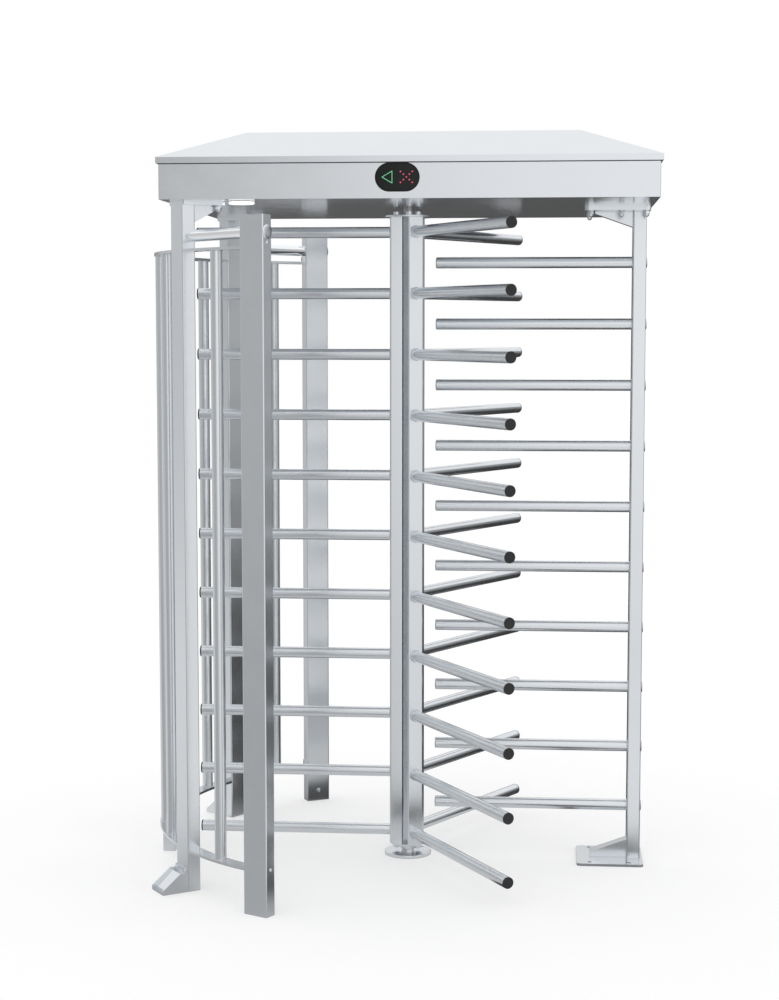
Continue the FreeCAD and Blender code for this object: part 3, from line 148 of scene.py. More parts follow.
class Bench(Desk):
    """Mixes one material."""

    def __init__(self, name: str) -> None:
        """Start a material that has nothing but its output.

        Args:
            name: Name of the material.
        """
        self.material = bpy.data.materials.new(name)
        self.material.use_nodes = True
        super().__init__(self.material.node_tree)
        self.tree.nodes.clear()
        self.output = self.add("ShaderNodeOutputMaterial")

    def close(self, shader: object) -> Material:
        """Send a shader to the output and return the material."""
        self.feed(self.output.inputs["Surface"], shader)
        return self.material

    def surface(self, **feeds: object) -> Material:
        """Close the material with a principled shader, its inputs named with _ for spaces."""
        named = {name.replace("_", " "): value for name, value in feeds.items()}
        return self.close(self.add("ShaderNodeBsdfPrincipled", named))

    def laid(self, grain: Grain) -> NodeSocket:
        """Coordinates that follow a grain; turned marks go round the rotor axis.

        Args:
            grain: How the marks run.

        Returns:
            The socket that carries the coordinates.
        """
        source, stretch = grain.value
        if source == "tube":
            along = self.add("ShaderNodeAttribute", attribute_name=LIE).outputs["Vector"]
            shift = self.add("ShaderNodeAttribute", attribute_name=SHIFT).outputs["Fac"]
            start = self.add("ShaderNodeVectorMath", {0: along, 1: shift}, operation="ADD")
        else:
            start = self.add("ShaderNodeTexCoord").outputs["Object"]
        if source == "round":
            flat = self.add("ShaderNodeVectorMath", {0: start, 1: (1.0, 1.0, 0.0)},
                            operation="MULTIPLY")
            length = self.add("ShaderNodeVectorMath", {0: flat}, operation="LENGTH")
            parts = self.add("ShaderNodeSeparateXYZ", {0: start})
            rings = self.sum("ADD", length.outputs["Value"], parts.outputs["Z"])
            start = self.add("ShaderNodeCombineXYZ",
                             {0: rings, 1: parts.outputs["X"], 2: parts.outputs["Y"]})
        return self.add("ShaderNodeMapping", {"Vector": start, "Scale": stretch}).outputs[0]

    def noise(self, lie: object, scale: float, detail: float = 3.0) -> NodeSocket:
        """Noise on coordinates, with values round one half."""
        feeds = {"Vector": lie, "Scale": scale, "Detail": detail, "Roughness": 0.6}
        return self.add("ShaderNodeTexNoise", feeds).outputs["Fac"]

    def ranged(self, source: object, low: float, high: float, start: float = 0.3,
               end: float = 0.7) -> NodeSocket:
        """Spread a socket's values from start to end over a range from low to high."""
        feeds = {"Value": source, "From Min": start, "From Max": end, "To Min": low, "To Max": high}
        return self.add("ShaderNodeMapRange", feeds).outputs["Result"]

    def about(self, source: object, middle: float, spread: float) -> NodeSocket:
        """Spread a socket's values about a middle."""
        return self.ranged(source, middle - spread, middle + spread)

    def weighed(self, first: object, second: object, share: float) -> NodeSocket:
        """Sum of two sockets, of which the first has a share and the second the rest."""
        return self.sum("ADD", self.sum("MULTIPLY", first, share),
                        self.sum("MULTIPLY", second, 1.0 - share))

    def mixed(self, factor: object, first: object, second: object) -> NodeSocket:
        """Mix two colours.

        Args:
            factor: Share of the second, from 0 to 1.
            first: Colour or socket.
            second: Colour or socket.

        Returns:
            The socket that carries the mix.
        """
        mix = self.add("ShaderNodeMix", data_type="RGBA")
        for name, value in (("Factor", factor), ("A", first), ("B", second)):
            self.feed(mix.inputs[name], value)
        return mix.outputs["Result"]

    def passed(self, source: object, span: tuple[float, float], first: object,
               second: object) -> NodeSocket:
        """Pass smoothly from one colour to another.

        Args:
            source: Socket that decides.
            span: Its values at which the change starts and ends.
            first: Colour before.
            second: Colour after.

        Returns:
            The socket that carries the colour.
        """
        feeds = {"Value": source, "From Min": span[0], "From Max": span[1]}
        share = self.add("ShaderNodeMapRange", feeds, interpolation_type="SMOOTHSTEP").outputs[0]
        return self.mixed(share, first, second)

    def tinted(self, factor: object, dark: Colour, light: Colour) -> NodeSocket:
        """Colour between two, by a factor from 0 to 1."""
        return self.mixed(factor, (*dark, 1.0), (*light, 1.0))

    def clouded(self, source: object, colour: Colour, low: float, high: float = 1.0) -> NodeSocket:
        """Colour that varies with a socket from low to high times its level."""
        return self.tinted(self.ranged(source, 0.0, 1.0), scaled(colour, low), scaled(colour, high))

    def relief(self, height: object, strength: float, depth: float = 0.05) -> NodeSocket:
        """Normal of a fine relief, its depth in millimetres."""
        feeds = {"Strength": strength, "Distance": depth * MM, "Height": height}
        return self.add("ShaderNodeBump", feeds).outputs["Normal"]

    def levels(self, factor: object, stops: Sequence[tuple[float, float]]) -> NodeSocket:
        """Grey level that follows a line of stops.

        Args:
            factor: Socket from 0 to 1.
            stops: Place and level of each stop, in order.

        Returns:
            The socket that carries the grey.
        """
        ramp = self.add("ShaderNodeValToRGB", {"Fac": factor})
        points = ramp.color_ramp.elements
        while len(points) < len(stops):
            points.new(1.0)
        for point, (place, level) in zip(points, stops):
            point.position = place
            point.color = grey(level)
        return ramp.outputs["Color"]


# Finishes

def scaled(colour: Colour, by: float) -> Colour:
    """Colour made lighter or darker."""
    return tuple(min(1.0, c * by) for c in colour)


def grey(level: float) -> tuple[float, float, float, float]:
    """Opaque grey of a level."""
    return (level, level, level, 1.0)


@dataclass(frozen=True)
class Steel:
    """Bare metal with the marks of brushing, polishing or turning."""

    name: str
    tint: Colour = STEEL
    roughness: float = 0.20
    spread: float = 0.05
    grain: Grain = Grain.ALONG_Z
    scale: float = 22.0
    relief: float = 0.12
    depth: float = 0.1
    cloud: float = 0.03
    cloud_scale: float = 0.8
    hair_scale: float = 4.0
    hair_share: float = 0.35
    mark_share: float = 0.4

    def material(self) -> Material:
        """Streaks in roughness and relief, and faint clouds in colour and sheen.

        Returns:
            The material.
        """
        bench = Bench(self.name)
        lie = bench.laid(self.grain)
        clouds = bench.noise(bench.laid(Grain.EVEN), self.cloud_scale, 4.0)
        hairs = bench.noise(lie, self.scale * self.hair_scale, 2.0)
        marks = bench.weighed(hairs, bench.noise(lie, self.scale, 4.0), self.hair_share)
        mixed = bench.weighed(marks, clouds, self.mark_share)
        return bench.surface(
            Metallic=1.0, Roughness=bench.about(mixed, self.roughness, self.spread),
            Base_Color=bench.clouded(mixed, self.tint, 1.0 - self.cloud, 1.0 + self.cloud / 2),
            Normal=bench.relief(marks, self.relief, self.depth))


@dataclass(frozen=True)
class Coat:
    """Plastic, paint or lacquer: a fine grain in relief and sheen over faint clouds of colour."""

    name: str
    colour: Colour
    roughness: float = 0.45
    spread: float = 0.08
    grain_scale: float = 50.0
    relief: float = 0.25
    depth: float = 0.1
    metallic: float = 0.0
    sheen: float = 0.5
    cloud_scale: float = 2.0
    darkest: float = 0.86
    lightest: float = 1.1

    def material(self) -> Material:
        """Fine moulded or sprayed grain.

        Returns:
            The material.
        """
        bench = Bench(self.name)
        place = bench.laid(Grain.EVEN)
        grain = bench.noise(place, self.grain_scale)
        clouds = bench.noise(place, self.cloud_scale, 4.0)
        return bench.surface(
            Metallic=self.metallic, Specular_IOR_Level=self.sheen,
            Base_Color=bench.clouded(clouds, self.colour, self.darkest, self.lightest),
            Roughness=bench.about(grain, self.roughness, self.spread),
            Normal=bench.relief(grain, self.relief, self.depth))


@dataclass(frozen=True)
class Board:
    """Green lacquered board with copper tracks under the lacquer."""

    name: str = "board_lacquer"
    green: Colour = (0.012, 0.085, 0.035)
    track: Colour = (0.03, 0.18, 0.07)
    cell_scale: float = 9.0
    tracks: float = 6.0
    track_edge: tuple[float, float] = (0.45, 0.55)
    grain_scale: float = 20.0
    roughness: float = 0.28
    spread: float = 0.06

    def material(self) -> Material:
        """Square cells of tracks in a lighter green.

        Returns:
            The material.
        """
        bench = Bench(self.name)
        place = bench.laid(Grain.EVEN)
        cells = bench.add("ShaderNodeTexVoronoi", {"Vector": place, "Scale": self.cell_scale},
                          distance="CHEBYCHEV", feature="F1").outputs["Distance"]
        wave = bench.sum("PINGPONG", bench.sum("MULTIPLY", cells, self.tracks), 1.0)
        lines = bench.ranged(wave, 0.0, 1.0, *self.track_edge)
        grain = bench.noise(place, self.grain_scale)
        return bench.surface(Base_Color=bench.tinted(lines, self.green, self.track),
                             Roughness=bench.about(grain, self.roughness, self.spread),
                             Normal=bench.relief(lines, 0.3))


@dataclass(frozen=True)
class Glow:
    """Lit plastic: a glow through a cloudy or ribbed lens."""

    name: str
    colour: Colour
    light: Colour
    strength: float
    scale: float = 40.0
    roughness: float = 0.35
    spread: float = 0.05
    darkest: float = 0.92

    def material(self) -> Material:
        """Glow that varies a little over the lens.

        Returns:
            The material.
        """
        bench = Bench(self.name)
        cloud = bench.noise(bench.laid(Grain.EVEN), self.scale, 2.0)
        return bench.surface(Base_Color=(*self.colour, 1.0), Emission_Strength=self.strength,
                             Emission_Color=bench.clouded(cloud, self.light, self.darkest),
                             Roughness=bench.about(cloud, self.roughness, self.spread),
                             Normal=bench.relief(cloud, 0.2))


# Studio

@dataclass
class Studio:
    """White floor and walls, soft light and the camera.

    The metal mirrors a tent of pale and dark cloth that only its reflections see: open and white in
    front and overhead, grey at the left, dark behind on the right.
    """

    camera_place: Vector = Vector((0.4296, -5.9081, 1.6373))
    yaw: float = 4.717
    pitch: float = 5.105
    lens: float = 69.57
    sensor: float = 36.0
    sight: float = 100.0
    tent_sides: int = 96
    tent_radius: float = 14.0
    tent_height: float = 12.0
    eye_height: float = 1.1
    floor_half: float = 40.0
    overhead: float = 0.97
    far: tuple[tuple[float, float], ...] = (
        (0.0, 0.55), (11.0, 0.50), (24.0, 0.46), (31.0, 0.20), (42.0, 0.09), (90.0, 0.10),
        (112.0, 0.14), (132.0, 0.50), (149.0, 0.64), (180.0, 0.56), (203.0, 0.50), (240.0, 0.50),
        (255.0, 0.53), (259.0, 0.60), (264.0, 0.83), (268.0, 0.95), (273.0, 1.0), (326.0, 0.98),
        (332.0, 0.86), (342.0, 0.74), (360.0, 0.55))
    near: tuple[tuple[float, float], ...] = (
        (0.0, 0.20), (11.0, 0.07), (24.0, 0.07), (42.0, 0.05), (90.0, 0.06), (112.0, 0.10),
        (132.0, 0.50), (149.0, 0.82), (180.0, 0.74), (196.0, 0.60), (207.0, 0.44), (240.0, 0.46),
        (255.0, 0.56), (264.0, 0.70), (273.0, 0.80), (291.0, 0.88), (326.0, 0.88), (334.0, 0.62),
        (342.0, 0.46), (360.0, 0.20))
    under: tuple[tuple[float, float], ...] = (
        (0.0, 0.12), (60.0, 0.08), (109.0, 0.05), (125.0, 0.08), (150.0, 0.30), (200.0, 0.70),
        (235.0, 0.50), (250.0, 0.40), (262.0, 0.10), (300.0, 0.08), (330.0, 0.10), (345.0, 0.30),
        (360.0, 0.12))
    core: float = 0.62
    core_edge: tuple[float, float] = (0.46, 0.50)
    under_edge: tuple[float, float] = (0.70, 0.78)
    horizon: tuple[float, float] = (math.radians(-16.0), math.radians(3.0))
    overhead_edge: tuple[float, float] = (math.radians(22.0), math.radians(30.0))
    overhead_drop: float = math.radians(18.0)
    drop_edge: tuple[float, float] = (0.2, 0.7)
    floor_grey: float = 0.60
    floor_glow: float = 0.435

    def build(self) -> None:
        """Set up everything that isn't part of the object."""
        bpy.context.scene.view_settings.view_transform = "Standard"
        self.camera()
        self.world()
        self.floor()
        self.tent()

    def camera(self) -> None:
        """Put the camera where the photograph was taken from."""
        data = bpy.data.cameras.new("camera")
        data.lens, data.sensor_width, data.clip_end = self.lens, self.sensor, self.sight
        camera = linked("camera", data)
        camera.location = self.camera_place
        camera.rotation_euler = (math.radians(90.0 - self.pitch), 0.0, math.radians(self.yaw))
        bpy.context.scene.camera = camera

    def world(self) -> None:
        """Light everything evenly from a white surround."""
        world = bpy.data.worlds.new("studio")
        world.use_nodes = True
        world.node_tree.nodes["Background"].inputs["Color"].default_value = grey(1.0)
        bpy.context.scene.world = world

    def cloth(self, bench: Bench) -> NodeSocket:
        """Level of light that a reflection finds on the tent or floor.

        Args:
            bench: Bench of the tent's or the floor's material.

        Returns:
            The socket that carries the level.
        """
        place = bench.add("ShaderNodeTexCoord").outputs["Object"]
        parts = bench.add("ShaderNodeSeparateXYZ", {0: place})
        x, y, z = parts.outputs
        turn = bench.sum("DIVIDE", bench.sum("ARCTAN2", y, x), 2.0 * math.pi)
        turn = bench.sum("FRACT", bench.sum("ADD", turn, 1.0))
        out = bench.sum("SQRT", bench.sum("ADD", bench.sum("MULTIPLY", x, x),
                                          bench.sum("MULTIPLY", y, y)))
        rise = bench.sum("ARCTAN2", bench.sum("SUBTRACT", z, self.eye_height), out)
        far, near, under = (bench.levels(turn, [(a / 360.0, level) for a, level in stops])
                            for stops in (self.far, self.near, self.under))
        level = bench.passed(out, self.core_edge, grey(self.core), under)
        level = bench.passed(out, self.under_edge, level, near)
        level = bench.passed(rise, self.horizon, level, far)
        drop = bench.ranged(bench.sum("DIVIDE", y, out), 0.0, self.overhead_drop, *self.drop_edge)
        return bench.passed(bench.sum("ADD", rise, drop), self.overhead_edge, level,
                            grey(self.overhead))

    def floor(self) -> None:
        """Pale floor, white to the camera apart from shadows, and graded as the tent in metal."""
        half = self.floor_half
        corners = [(-half, -half, 0), (half, -half, 0), (half, half, 0), (-half, half, 0)]
        mesh = bpy.data.meshes.new("floor")
        mesh.from_pydata(corners, [], [(0, 1, 2, 3)])
        floor = linked("floor", mesh)
        bench = Bench("floor")
        path = bench.add("ShaderNodeLightPath")
        matt = bench.add("ShaderNodeBsdfDiffuse", {"Color": grey(self.floor_grey)})
        glow = bench.add("ShaderNodeEmission", {"Strength": self.floor_glow})
        white = bench.add("ShaderNodeAddShader", {0: matt, 1: glow})
        graded = bench.add("ShaderNodeEmission", {"Color": self.cloth(bench)})
        seen = bench.add("ShaderNodeMixShader",
                         {0: path.outputs["Is Camera Ray"], 1: matt, 2: white})
        mirrored = bench.sum("MAXIMUM", path.outputs["Is Glossy Ray"],
                             path.outputs["Is Transmission Ray"])
        whole = bench.add("ShaderNodeMixShader", {0: mirrored, 1: seen, 2: graded})
        mesh.materials.append(bench.close(whole))
        bench.material.cycles.emission_sampling = "NONE"

    def tent(self) -> None:
        """Round wall of cloth that is seen in reflections and nowhere else."""
        sides = self.tent_sides
        form = bmesh.new()
        low, high = ([form.verts.new(turned_point(360.0 * k / sides, self.tent_radius, 0.0, z))
                      for k in range(sides)] for z in (0.0, self.tent_height))
        for k in range(sides):
            nxt = (k + 1) % sides
            form.faces.new((low[nxt], low[k], high[k], high[nxt]))
        tent = settle(form, "tent")
        bench = Bench("tent_cloth")
        cloth = bench.add("ShaderNodeEmission", {"Color": self.cloth(bench)})
        tent.data.materials.append(bench.close(cloth))
        bench.material.cycles.emission_sampling = "NONE"
        for ray in ("camera", "diffuse", "shadow", "transmission", "volume_scatter"):
            setattr(tent, "visible_" + ray, False)


# Meshes

def turned_point(azimuth: float, out: float, side: float, z: float) -> Vector:
    """Point at an azimuth about the rotor axis.

    Args:
        azimuth: Angle of the radial line.
        out: Distance from the axis along that line.
        side: Distance beside it.
        z: Height.

    Returns:
        The point.
    """
    cos, sin = math.cos(math.radians(azimuth)), math.sin(math.radians(azimuth))
    return Vector((out * cos - side * sin, out * sin + side * cos, z))


def turned_way(azimuth: float) -> Vector:
    """Level direction at an azimuth."""
    return turned_point(azimuth, 1.0, 0.0, 0.0)


def linked(name: str, data: bpy.types.ID) -> Object:
    """Put data in the scene.

    Args:
        name: Name of the object.
        data: Its mesh or camera.

    Returns:
        The new object, at the origin.
    """
    thing = bpy.data.objects.new(name, data)
    bpy.context.scene.collection.objects.link(thing)
    return thing


def settle(form: BMesh, name: str, finish: "Finish | None" = None,
           crease: float = SMOOTH_LIMIT) -> Object:
    """Turn a form into an object that is smooth but for its sharp edges.

    Args:
        form: Form to finish; it is freed.
        name: Name of the object.
        finish: Finish, if it has its own.
        crease: Angle from which an edge stays sharp.

    Returns:
        The new object, at the origin.
    """
    for face in form.faces:
        face.smooth = True
    for edge in form.edges:
        edge.smooth = edge.calc_face_angle(math.pi) < crease
    mesh = bpy.data.meshes.new(name)
    form.to_mesh(mesh)
    form.free()
    if finish:
        mesh.materials.append(made(finish))
    return linked(name, mesh)


def lofted(loops: Sequence[Loop]) -> BMesh:
    """Closed form through loops of equal length, with its ends filled.

    Args:
        loops: Loops in order from one end to the other.

    Returns:
        The form, facing outwards.
    """
    form = bmesh.new()
    rows = [[form.verts.new(point) for point in loop] for loop in loops]
    count = len(rows[0])
    for low, high in zip(rows, rows[1:]):
        for k in range(count):
            nxt = (k + 1) % count
            form.faces.new((low[k], low[nxt], high[nxt], high[k]))
    form.faces.new(rows[0][::-1])
    form.faces.new(rows[-1])
    bmesh.ops.recalc_face_normals(form, faces=form.faces[:])
    return form


def rim_loop(sides: int, radius: float, z: float, flats: bool = False) -> Loop:
    """Loop about the Z axis, round or of six flats.

    Args:
        sides: Number of points, a multiple of six.
        radius: Radius, or half the width across flats.
        z: Height.
        flats: Whether it has six flats.

    Returns:
        The loop.
    """
    points = []
    for k in range(sides):
        angle = 360.0 * k / sides
        beside = math.radians(angle % 60.0 - 30.0) if flats else 0.0
        points.append(turned_point(angle, radius / math.cos(beside), 0.0, z))
    return points


def turned(name: str, rims: Iterable[Rim], finish: "Finish | None" = None,
           sides: int = 24) -> Object:
    """Closed piece through rims about the Z axis.

    Args:
        name: Name of the piece.
        rims: Radius and height of each rim, from one end to the other, and HEX for six flats.
        finish: Finish, if it has its own.
        sides: Number of points of each rim.

    Returns:
        The new piece.
    """
    return settle(lofted([rim_loop(sides, *rim) for rim in rims]), name, finish)


def dome_rims(radius: float, rise: float, z: float, rings: int = 6) -> list[Rim]:
    """Rims of a low dome.

    Args:
        radius: Radius of its foot.
        rise: Its height.
        z: Height that it stands on.
        rings: Number of rims above the foot.

    Returns:
        The rims from the foot up.
    """
    angles = [math.pi / 2 * k / (rings + 0.5) for k in range(rings + 1)]
    return [(radius * math.cos(a), z + rise * math.sin(a)) for a in angles]


def stadium_loop(width: float, height: float, depth: float, sides: int = 64) -> Loop:
    """Stadium in a plane of constant Y.

    Args:
        width: Length along X.
        height: Height along Z.
        depth: The plane's Y.
        sides: Number of points.

    Returns:
        The loop.
    """
    radius = height / 2
    straight = width / 2 - radius
    points = []
    for k in range(sides):
        a = 2.0 * math.pi * (k + 0.5) / sides
        shift = straight if math.cos(a) > 0 else -straight
        points.append(Vector((shift + radius * math.cos(a), depth, radius * math.sin(a))))
    return points


def marked(places: Places) -> Mesh:
    """Mesh of loose points that each carry the direction their piece points in.

    Args:
        places: Point and direction of each piece.

    Returns:
        The mesh.
    """
    pairs = list(places)
    mesh = bpy.data.meshes.new("places")
    mesh.from_pydata([point for point, _ in pairs], [], [])
    ways = mesh.attributes.new(WAY, "FLOAT_VECTOR", "POINT")
    ways.data.foreach_set("vector", [c for _, way in pairs for c in way])
    return mesh


def drawn(lines: Iterable[Sequence[Vector]]) -> Mesh:
    """Mesh of open lines.

    Args:
        lines: Points of each line.

    Returns:
        The mesh.
    """
    points, edges = [], []
    for line in lines:
        first = len(points)
        points += list(line)
        edges += [(first + k, first + k + 1) for k in range(len(line) - 1)]
    mesh = bpy.data.meshes.new("lines")
    mesh.from_pydata(points, edges, [])
    return mesh


# Geometry trees

class Jig(Desk):
    """Geometry tree that makes one kind of repeated piece from named sizes."""

    def __init__(self, name: str) -> None:
        """Start a tree that takes marks and gives geometry.

        Args:
            name: Name of the tree.
        """
        super().__init__(bpy.data.node_groups.new(name, "GeometryNodeTree"))
        face = self.tree.interface
        face.new_socket("Geometry", in_out="INPUT", socket_type="NodeSocketGeometry")
        face.new_socket("Geometry", in_out="OUTPUT", socket_type="NodeSocketGeometry")
        face.new_socket("Material", in_out="INPUT", socket_type="NodeSocketMaterial")
        self.entry = self.add("NodeGroupInput")
        self.exit = self.add("NodeGroupOutput")
        self.marks = self.entry.outputs["Geometry"]

    def size(self, name: str, kind: str = "Float") -> NodeSocket:
        """Declare a named input and return its socket."""
        self.tree.interface.new_socket(name, in_out="INPUT", socket_type="NodeSocket" + kind)
        return self.entry.outputs[name]

    def store(self, geometry: object, name: str, value: object, kind: str,
              domain: str = "POINT") -> Node:
        """Keep a value on geometry.

        Args:
            geometry: Geometry that carries it.
            name: Name of the attribute.
            value: Socket or node that gives it.
            kind: Blender's name for its type.
            domain: Blender's name for what it is kept on.

        Returns:
            The node that carries the geometry.
        """
        return self.add("GeometryNodeStoreNamedAttribute",
                        {"Geometry": geometry, "Name": name, "Value": value},
                        data_type=kind, domain=domain)

    def stood(self, points: object, instance: object, seed: int) -> Node:
        """Put an instance on each point along its own direction, each turned by chance.

        Args:
            points: Points that carry a direction.
            instance: Geometry to put there, standing on its Z axis.
            seed: Seed of the turns and of the shift of the grain.

        Returns:
            The node that carries the instances.
        """
        way = self.add("GeometryNodeInputNamedAttribute", {"Name": WAY}, data_type="FLOAT_VECTOR")
        upright = self.add("FunctionNodeAlignRotationToVector", {"Vector": way}, axis="Z")
        chance = self.add("FunctionNodeRandomValue", data_type="FLOAT")
        for key, value in (("Max_001", 2.0 * math.pi), ("Seed", seed)):
            next(i for i in chance.inputs if i.identifier == key).default_value = value
        draw = next(o for o in chance.outputs if o.enabled)
        spin = self.add("FunctionNodeAxisAngleToRotation", {"Axis": tuple(UP), "Angle": draw})
        whole = self.add("FunctionNodeRotateRotation", {"Rotation": upright, "Rotate By": spin},
                         rotation_space="LOCAL")
        put = self.add("GeometryNodeInstanceOnPoints",
                       {"Points": points, "Instance": instance, "Rotation": whole})
        return self.store(put, SHIFT, draw, "FLOAT", "INSTANCE")

    def rows(self) -> Node:
        """Repeat the marks upwards, by the inputs Count and Pitch.

        Returns:
            The node that carries the points.
        """
        count, pitch = self.size("Count", "Int"), self.size("Pitch")
        step = self.add("ShaderNodeCombineXYZ", {2: pitch})
        line = self.add("GeometryNodeMeshLine", {"Count": count, "Offset": step})
        put = self.add("GeometryNodeInstanceOnPoints", {"Points": self.marks, "Instance": line})
        return self.add("GeometryNodeRealizeInstances", {"Geometry": put})

    def circle(self, sides: int, radius: object) -> Node:
        """Round curve of a number of sides."""
        return self.add("GeometryNodeCurvePrimitiveCircle", {"Resolution": sides, "Radius": radius})

    def even(self) -> Node:
        """Curves along the marked lines, with points at the input Pitch."""
        curve = self.add("GeometryNodeMeshToCurve", {"Mesh": self.marks})
        return self.add("GeometryNodeResampleCurve", {"Curve": curve, "Length": self.size("Pitch")},
                        mode="LENGTH")

    def weld(self, line: object, ends: bool) -> Node:
        """Bead along a curve that swells at every second point.

        Args:
            line: Curve of the bead.
            ends: Whether its ends are closed.

        Returns:
            The node that carries the bead.
        """
        parity = self.sum("MODULO", self.add("GeometryNodeInputIndex"), 2.0)
        swell = self.sum("SUBTRACT", 1.0, self.sum("MULTIPLY", parity, RIPPLE))
        section = self.circle(BEAD_SIDES, self.size("Bead"))
        bead = self.add("GeometryNodeCurveToMesh", {"Curve": line, "Profile Curve": section,
                                                    "Scale": swell, "Fill Caps": ends})
        return self.add("GeometryNodeSetShadeSmooth", {"Geometry": bead})

    def close(self, geometry: object) -> "Jig":
        """End the tree in real geometry with its material.

        Args:
            geometry: Geometry to end in.

        Returns:
            The tree.
        """
        real = self.add("GeometryNodeRealizeInstances", {"Geometry": geometry})
        done = self.add("GeometryNodeSetMaterial",
                        {"Geometry": real, "Material": self.entry.outputs["Material"]})
        self.feed(self.exit.inputs["Geometry"], done)
        return self

    def grow(self, name: str, marks: Mesh, **sizes: object) -> Object:
        """Run the tree on marks and keep the result as a plain mesh.

        Args:
            name: Name of the piece.
            marks: Points or lines that the pieces stand on.
            **sizes: Value of each named input.

        Returns:
            The finished piece, at the origin.
        """
        piece = linked(name, marks)
        modifier = piece.modifiers.new(self.tree.name, "NODES")
        modifier.node_group = self.tree
        keys = {item.name: item.identifier for item in self.tree.interface.items_tree
                if item.item_type == "SOCKET" and item.in_out == "INPUT"}
        for size, value in sizes.items():
            modifier[keys[size]] = value
        result = baked(piece)
        result.name = name
        result.materials.clear()
        result.materials.append(sizes["Material"])
        result.polygons.foreach_set("material_index", [0] * len(result.polygons))
        return piece


def baked(piece: Object) -> Mesh:
    """Replace a piece's mesh and modifiers by the plain mesh that they make.

    Args:
        piece: Piece with modifiers.

    Returns:
        The new mesh.
    """
    result = bpy.data.meshes.new_from_object(
        piece.evaluated_get(bpy.context.evaluated_depsgraph_get()))
    piece.modifiers.clear()
    piece.data = result
    return result


def tube_jig() -> Jig:
    """Rows of open round tubes that lie along their marks' directions.

    Returns:
        The tree.
    """
    jig = Jig("tube_row")
    points = jig.rows()
    radius, wall, length = jig.size("Radius"), jig.size("Wall"), jig.size("Length")
    middle = jig.sum("SUBTRACT", radius, jig.sum("MULTIPLY", wall, 0.5))
    section = jig.add("GeometryNodeCurvePrimitiveQuadrilateral", {"Width": wall, "Height": length})
    tube = jig.add("GeometryNodeCurveToMesh",
                   {"Curve": jig.circle(TUBE_SIDES, middle), "Profile Curve": section})
    lift = jig.add("ShaderNodeCombineXYZ", {2: jig.sum("MULTIPLY", length, 0.5)})
    stood = jig.add("GeometryNodeTransform", {"Geometry": tube, "Translation": lift})
    angle = jig.add("GeometryNodeInputMeshEdgeAngle").outputs["Unsigned Angle"]
    rims = jig.add("FunctionNodeCompare", {0: angle, 1: SMOOTH_LIMIT}, operation="GREATER_THAN")
    smooth = jig.add("GeometryNodeSetShadeSmooth", {"Geometry": stood})
    cut = jig.add("GeometryNodeSetShadeSmooth",
                  {"Geometry": smooth, "Selection": rims, "Shade Smooth": False}, domain="EDGE")
    laid = jig.store(cut, LIE, jig.add("GeometryNodeInputPosition"), "FLOAT_VECTOR")
    return jig.close(jig.stood(points, laid, seed=4))


def ring_jig() -> Jig:
    """Rows of weld beads round the roots of tubes.

    Returns:
        The tree.
    """
    jig = Jig("weld_ring")
    points = jig.rows()
    ring = jig.circle(RING_SIDES, jig.size("Radius"))
    return jig.close(jig.stood(points, jig.weld(ring, ends=False), seed=11))


def bead_jig() -> Jig:
    """Weld beads along lines."""
    jig = Jig("weld_bead")
    return jig.close(jig.weld(jig.even(), ends=True))


def stand_jig() -> Jig:
    """One small piece, such as a screw, on each mark and along its direction.

    Returns:
        The tree.
    """
    jig = Jig("stand_pieces")
    source = jig.size("Piece", "Object")
    taken = jig.add("GeometryNodeObjectInfo", {"Object": source}).outputs["Geometry"]
    return jig.close(jig.stood(jig.marks, taken, seed=7))


def lamp_jig() -> Jig:
    """Row of small round lamps along lines.

    Returns:
        The tree.
    """
    jig = Jig("lamp_row")
    even, radius, height = jig.even(), jig.size("Radius"), jig.size("Height")
    lamp = jig.add("GeometryNodeMeshUVSphere", {"Segments": 10, "Rings": 5, "Radius": radius})
    shape = jig.add("ShaderNodeCombineXYZ", {0: 1.0, 1: height, 2: 1.0})
    flat = jig.add("GeometryNodeTransform", {"Geometry": lamp, "Scale": shape})
    put = jig.add("GeometryNodeInstanceOnPoints", {"Points": even, "Instance": flat})
    real = jig.add("GeometryNodeRealizeInstances", {0: put})
    return jig.close(jig.add("GeometryNodeSetShadeSmooth", {"Geometry": real}))


# Finishes of this object

UPRIGHT = Steel("brushed_upright")
LEVEL_SHEET = Steel("brushed_level", grain=Grain.LEVEL, relief=0.16, cloud=0.04)
ROOF_SHEET = Steel("brushed_roof", roughness=0.15, spread=0.03, grain=Grain.ALONG_X, relief=0.02,
                   cloud=0.025)
PLATE = Steel("brushed_plate", grain=Grain.ALONG_X, roughness=0.22)
BAND = Steel("rolled_band", grain=Grain.TURNED, scale=9.0)
TUBE = Steel("satin_tube", roughness=0.24, spread=0.03, grain=Grain.TUBE, relief=0.06, cloud=0.02)
# Lower roughness for the rail's polish; the tint, lighter than the other steel, is a painted
# highlight that brightens its reflection.
RAIL = Steel("polished_rail_painted_bright", tint=(0.92, 0.94, 0.96), roughness=0.16, spread=0.03,
             grain=Grain.TUBE, relief=0.04, cloud=0.02)
PLUG = Steel("polished_plug", roughness=0.20, spread=0.03, grain=Grain.EVEN, relief=0.04)
PANEL = Steel("polished_panel", roughness=0.15, spread=0.03, grain=Grain.ALONG_X, relief=0.05)
TURNED = Steel("turned_flange", grain=Grain.TURNED, scale=30.0)
FASTENER = Steel("stainless_fastener", grain=Grain.EVEN, scale=30.0, roughness=0.22, relief=0.1)
WELD = Steel("weld_bead", tint=(0.70, 0.71, 0.72), roughness=0.30, spread=0.08, grain=Grain.EVEN,
             scale=60.0, relief=0.3, cloud=0.10)
SPRING = Steel("spring_wire", tint=(0.42, 0.43, 0.45), roughness=0.25, grain=Grain.EVEN, scale=60.0)
BRONZE = Steel("bearing_bronze", tint=(0.62, 0.42, 0.20), roughness=0.34, grain=Grain.TURNED,
               scale=40.0, relief=0.2, cloud=0.08)
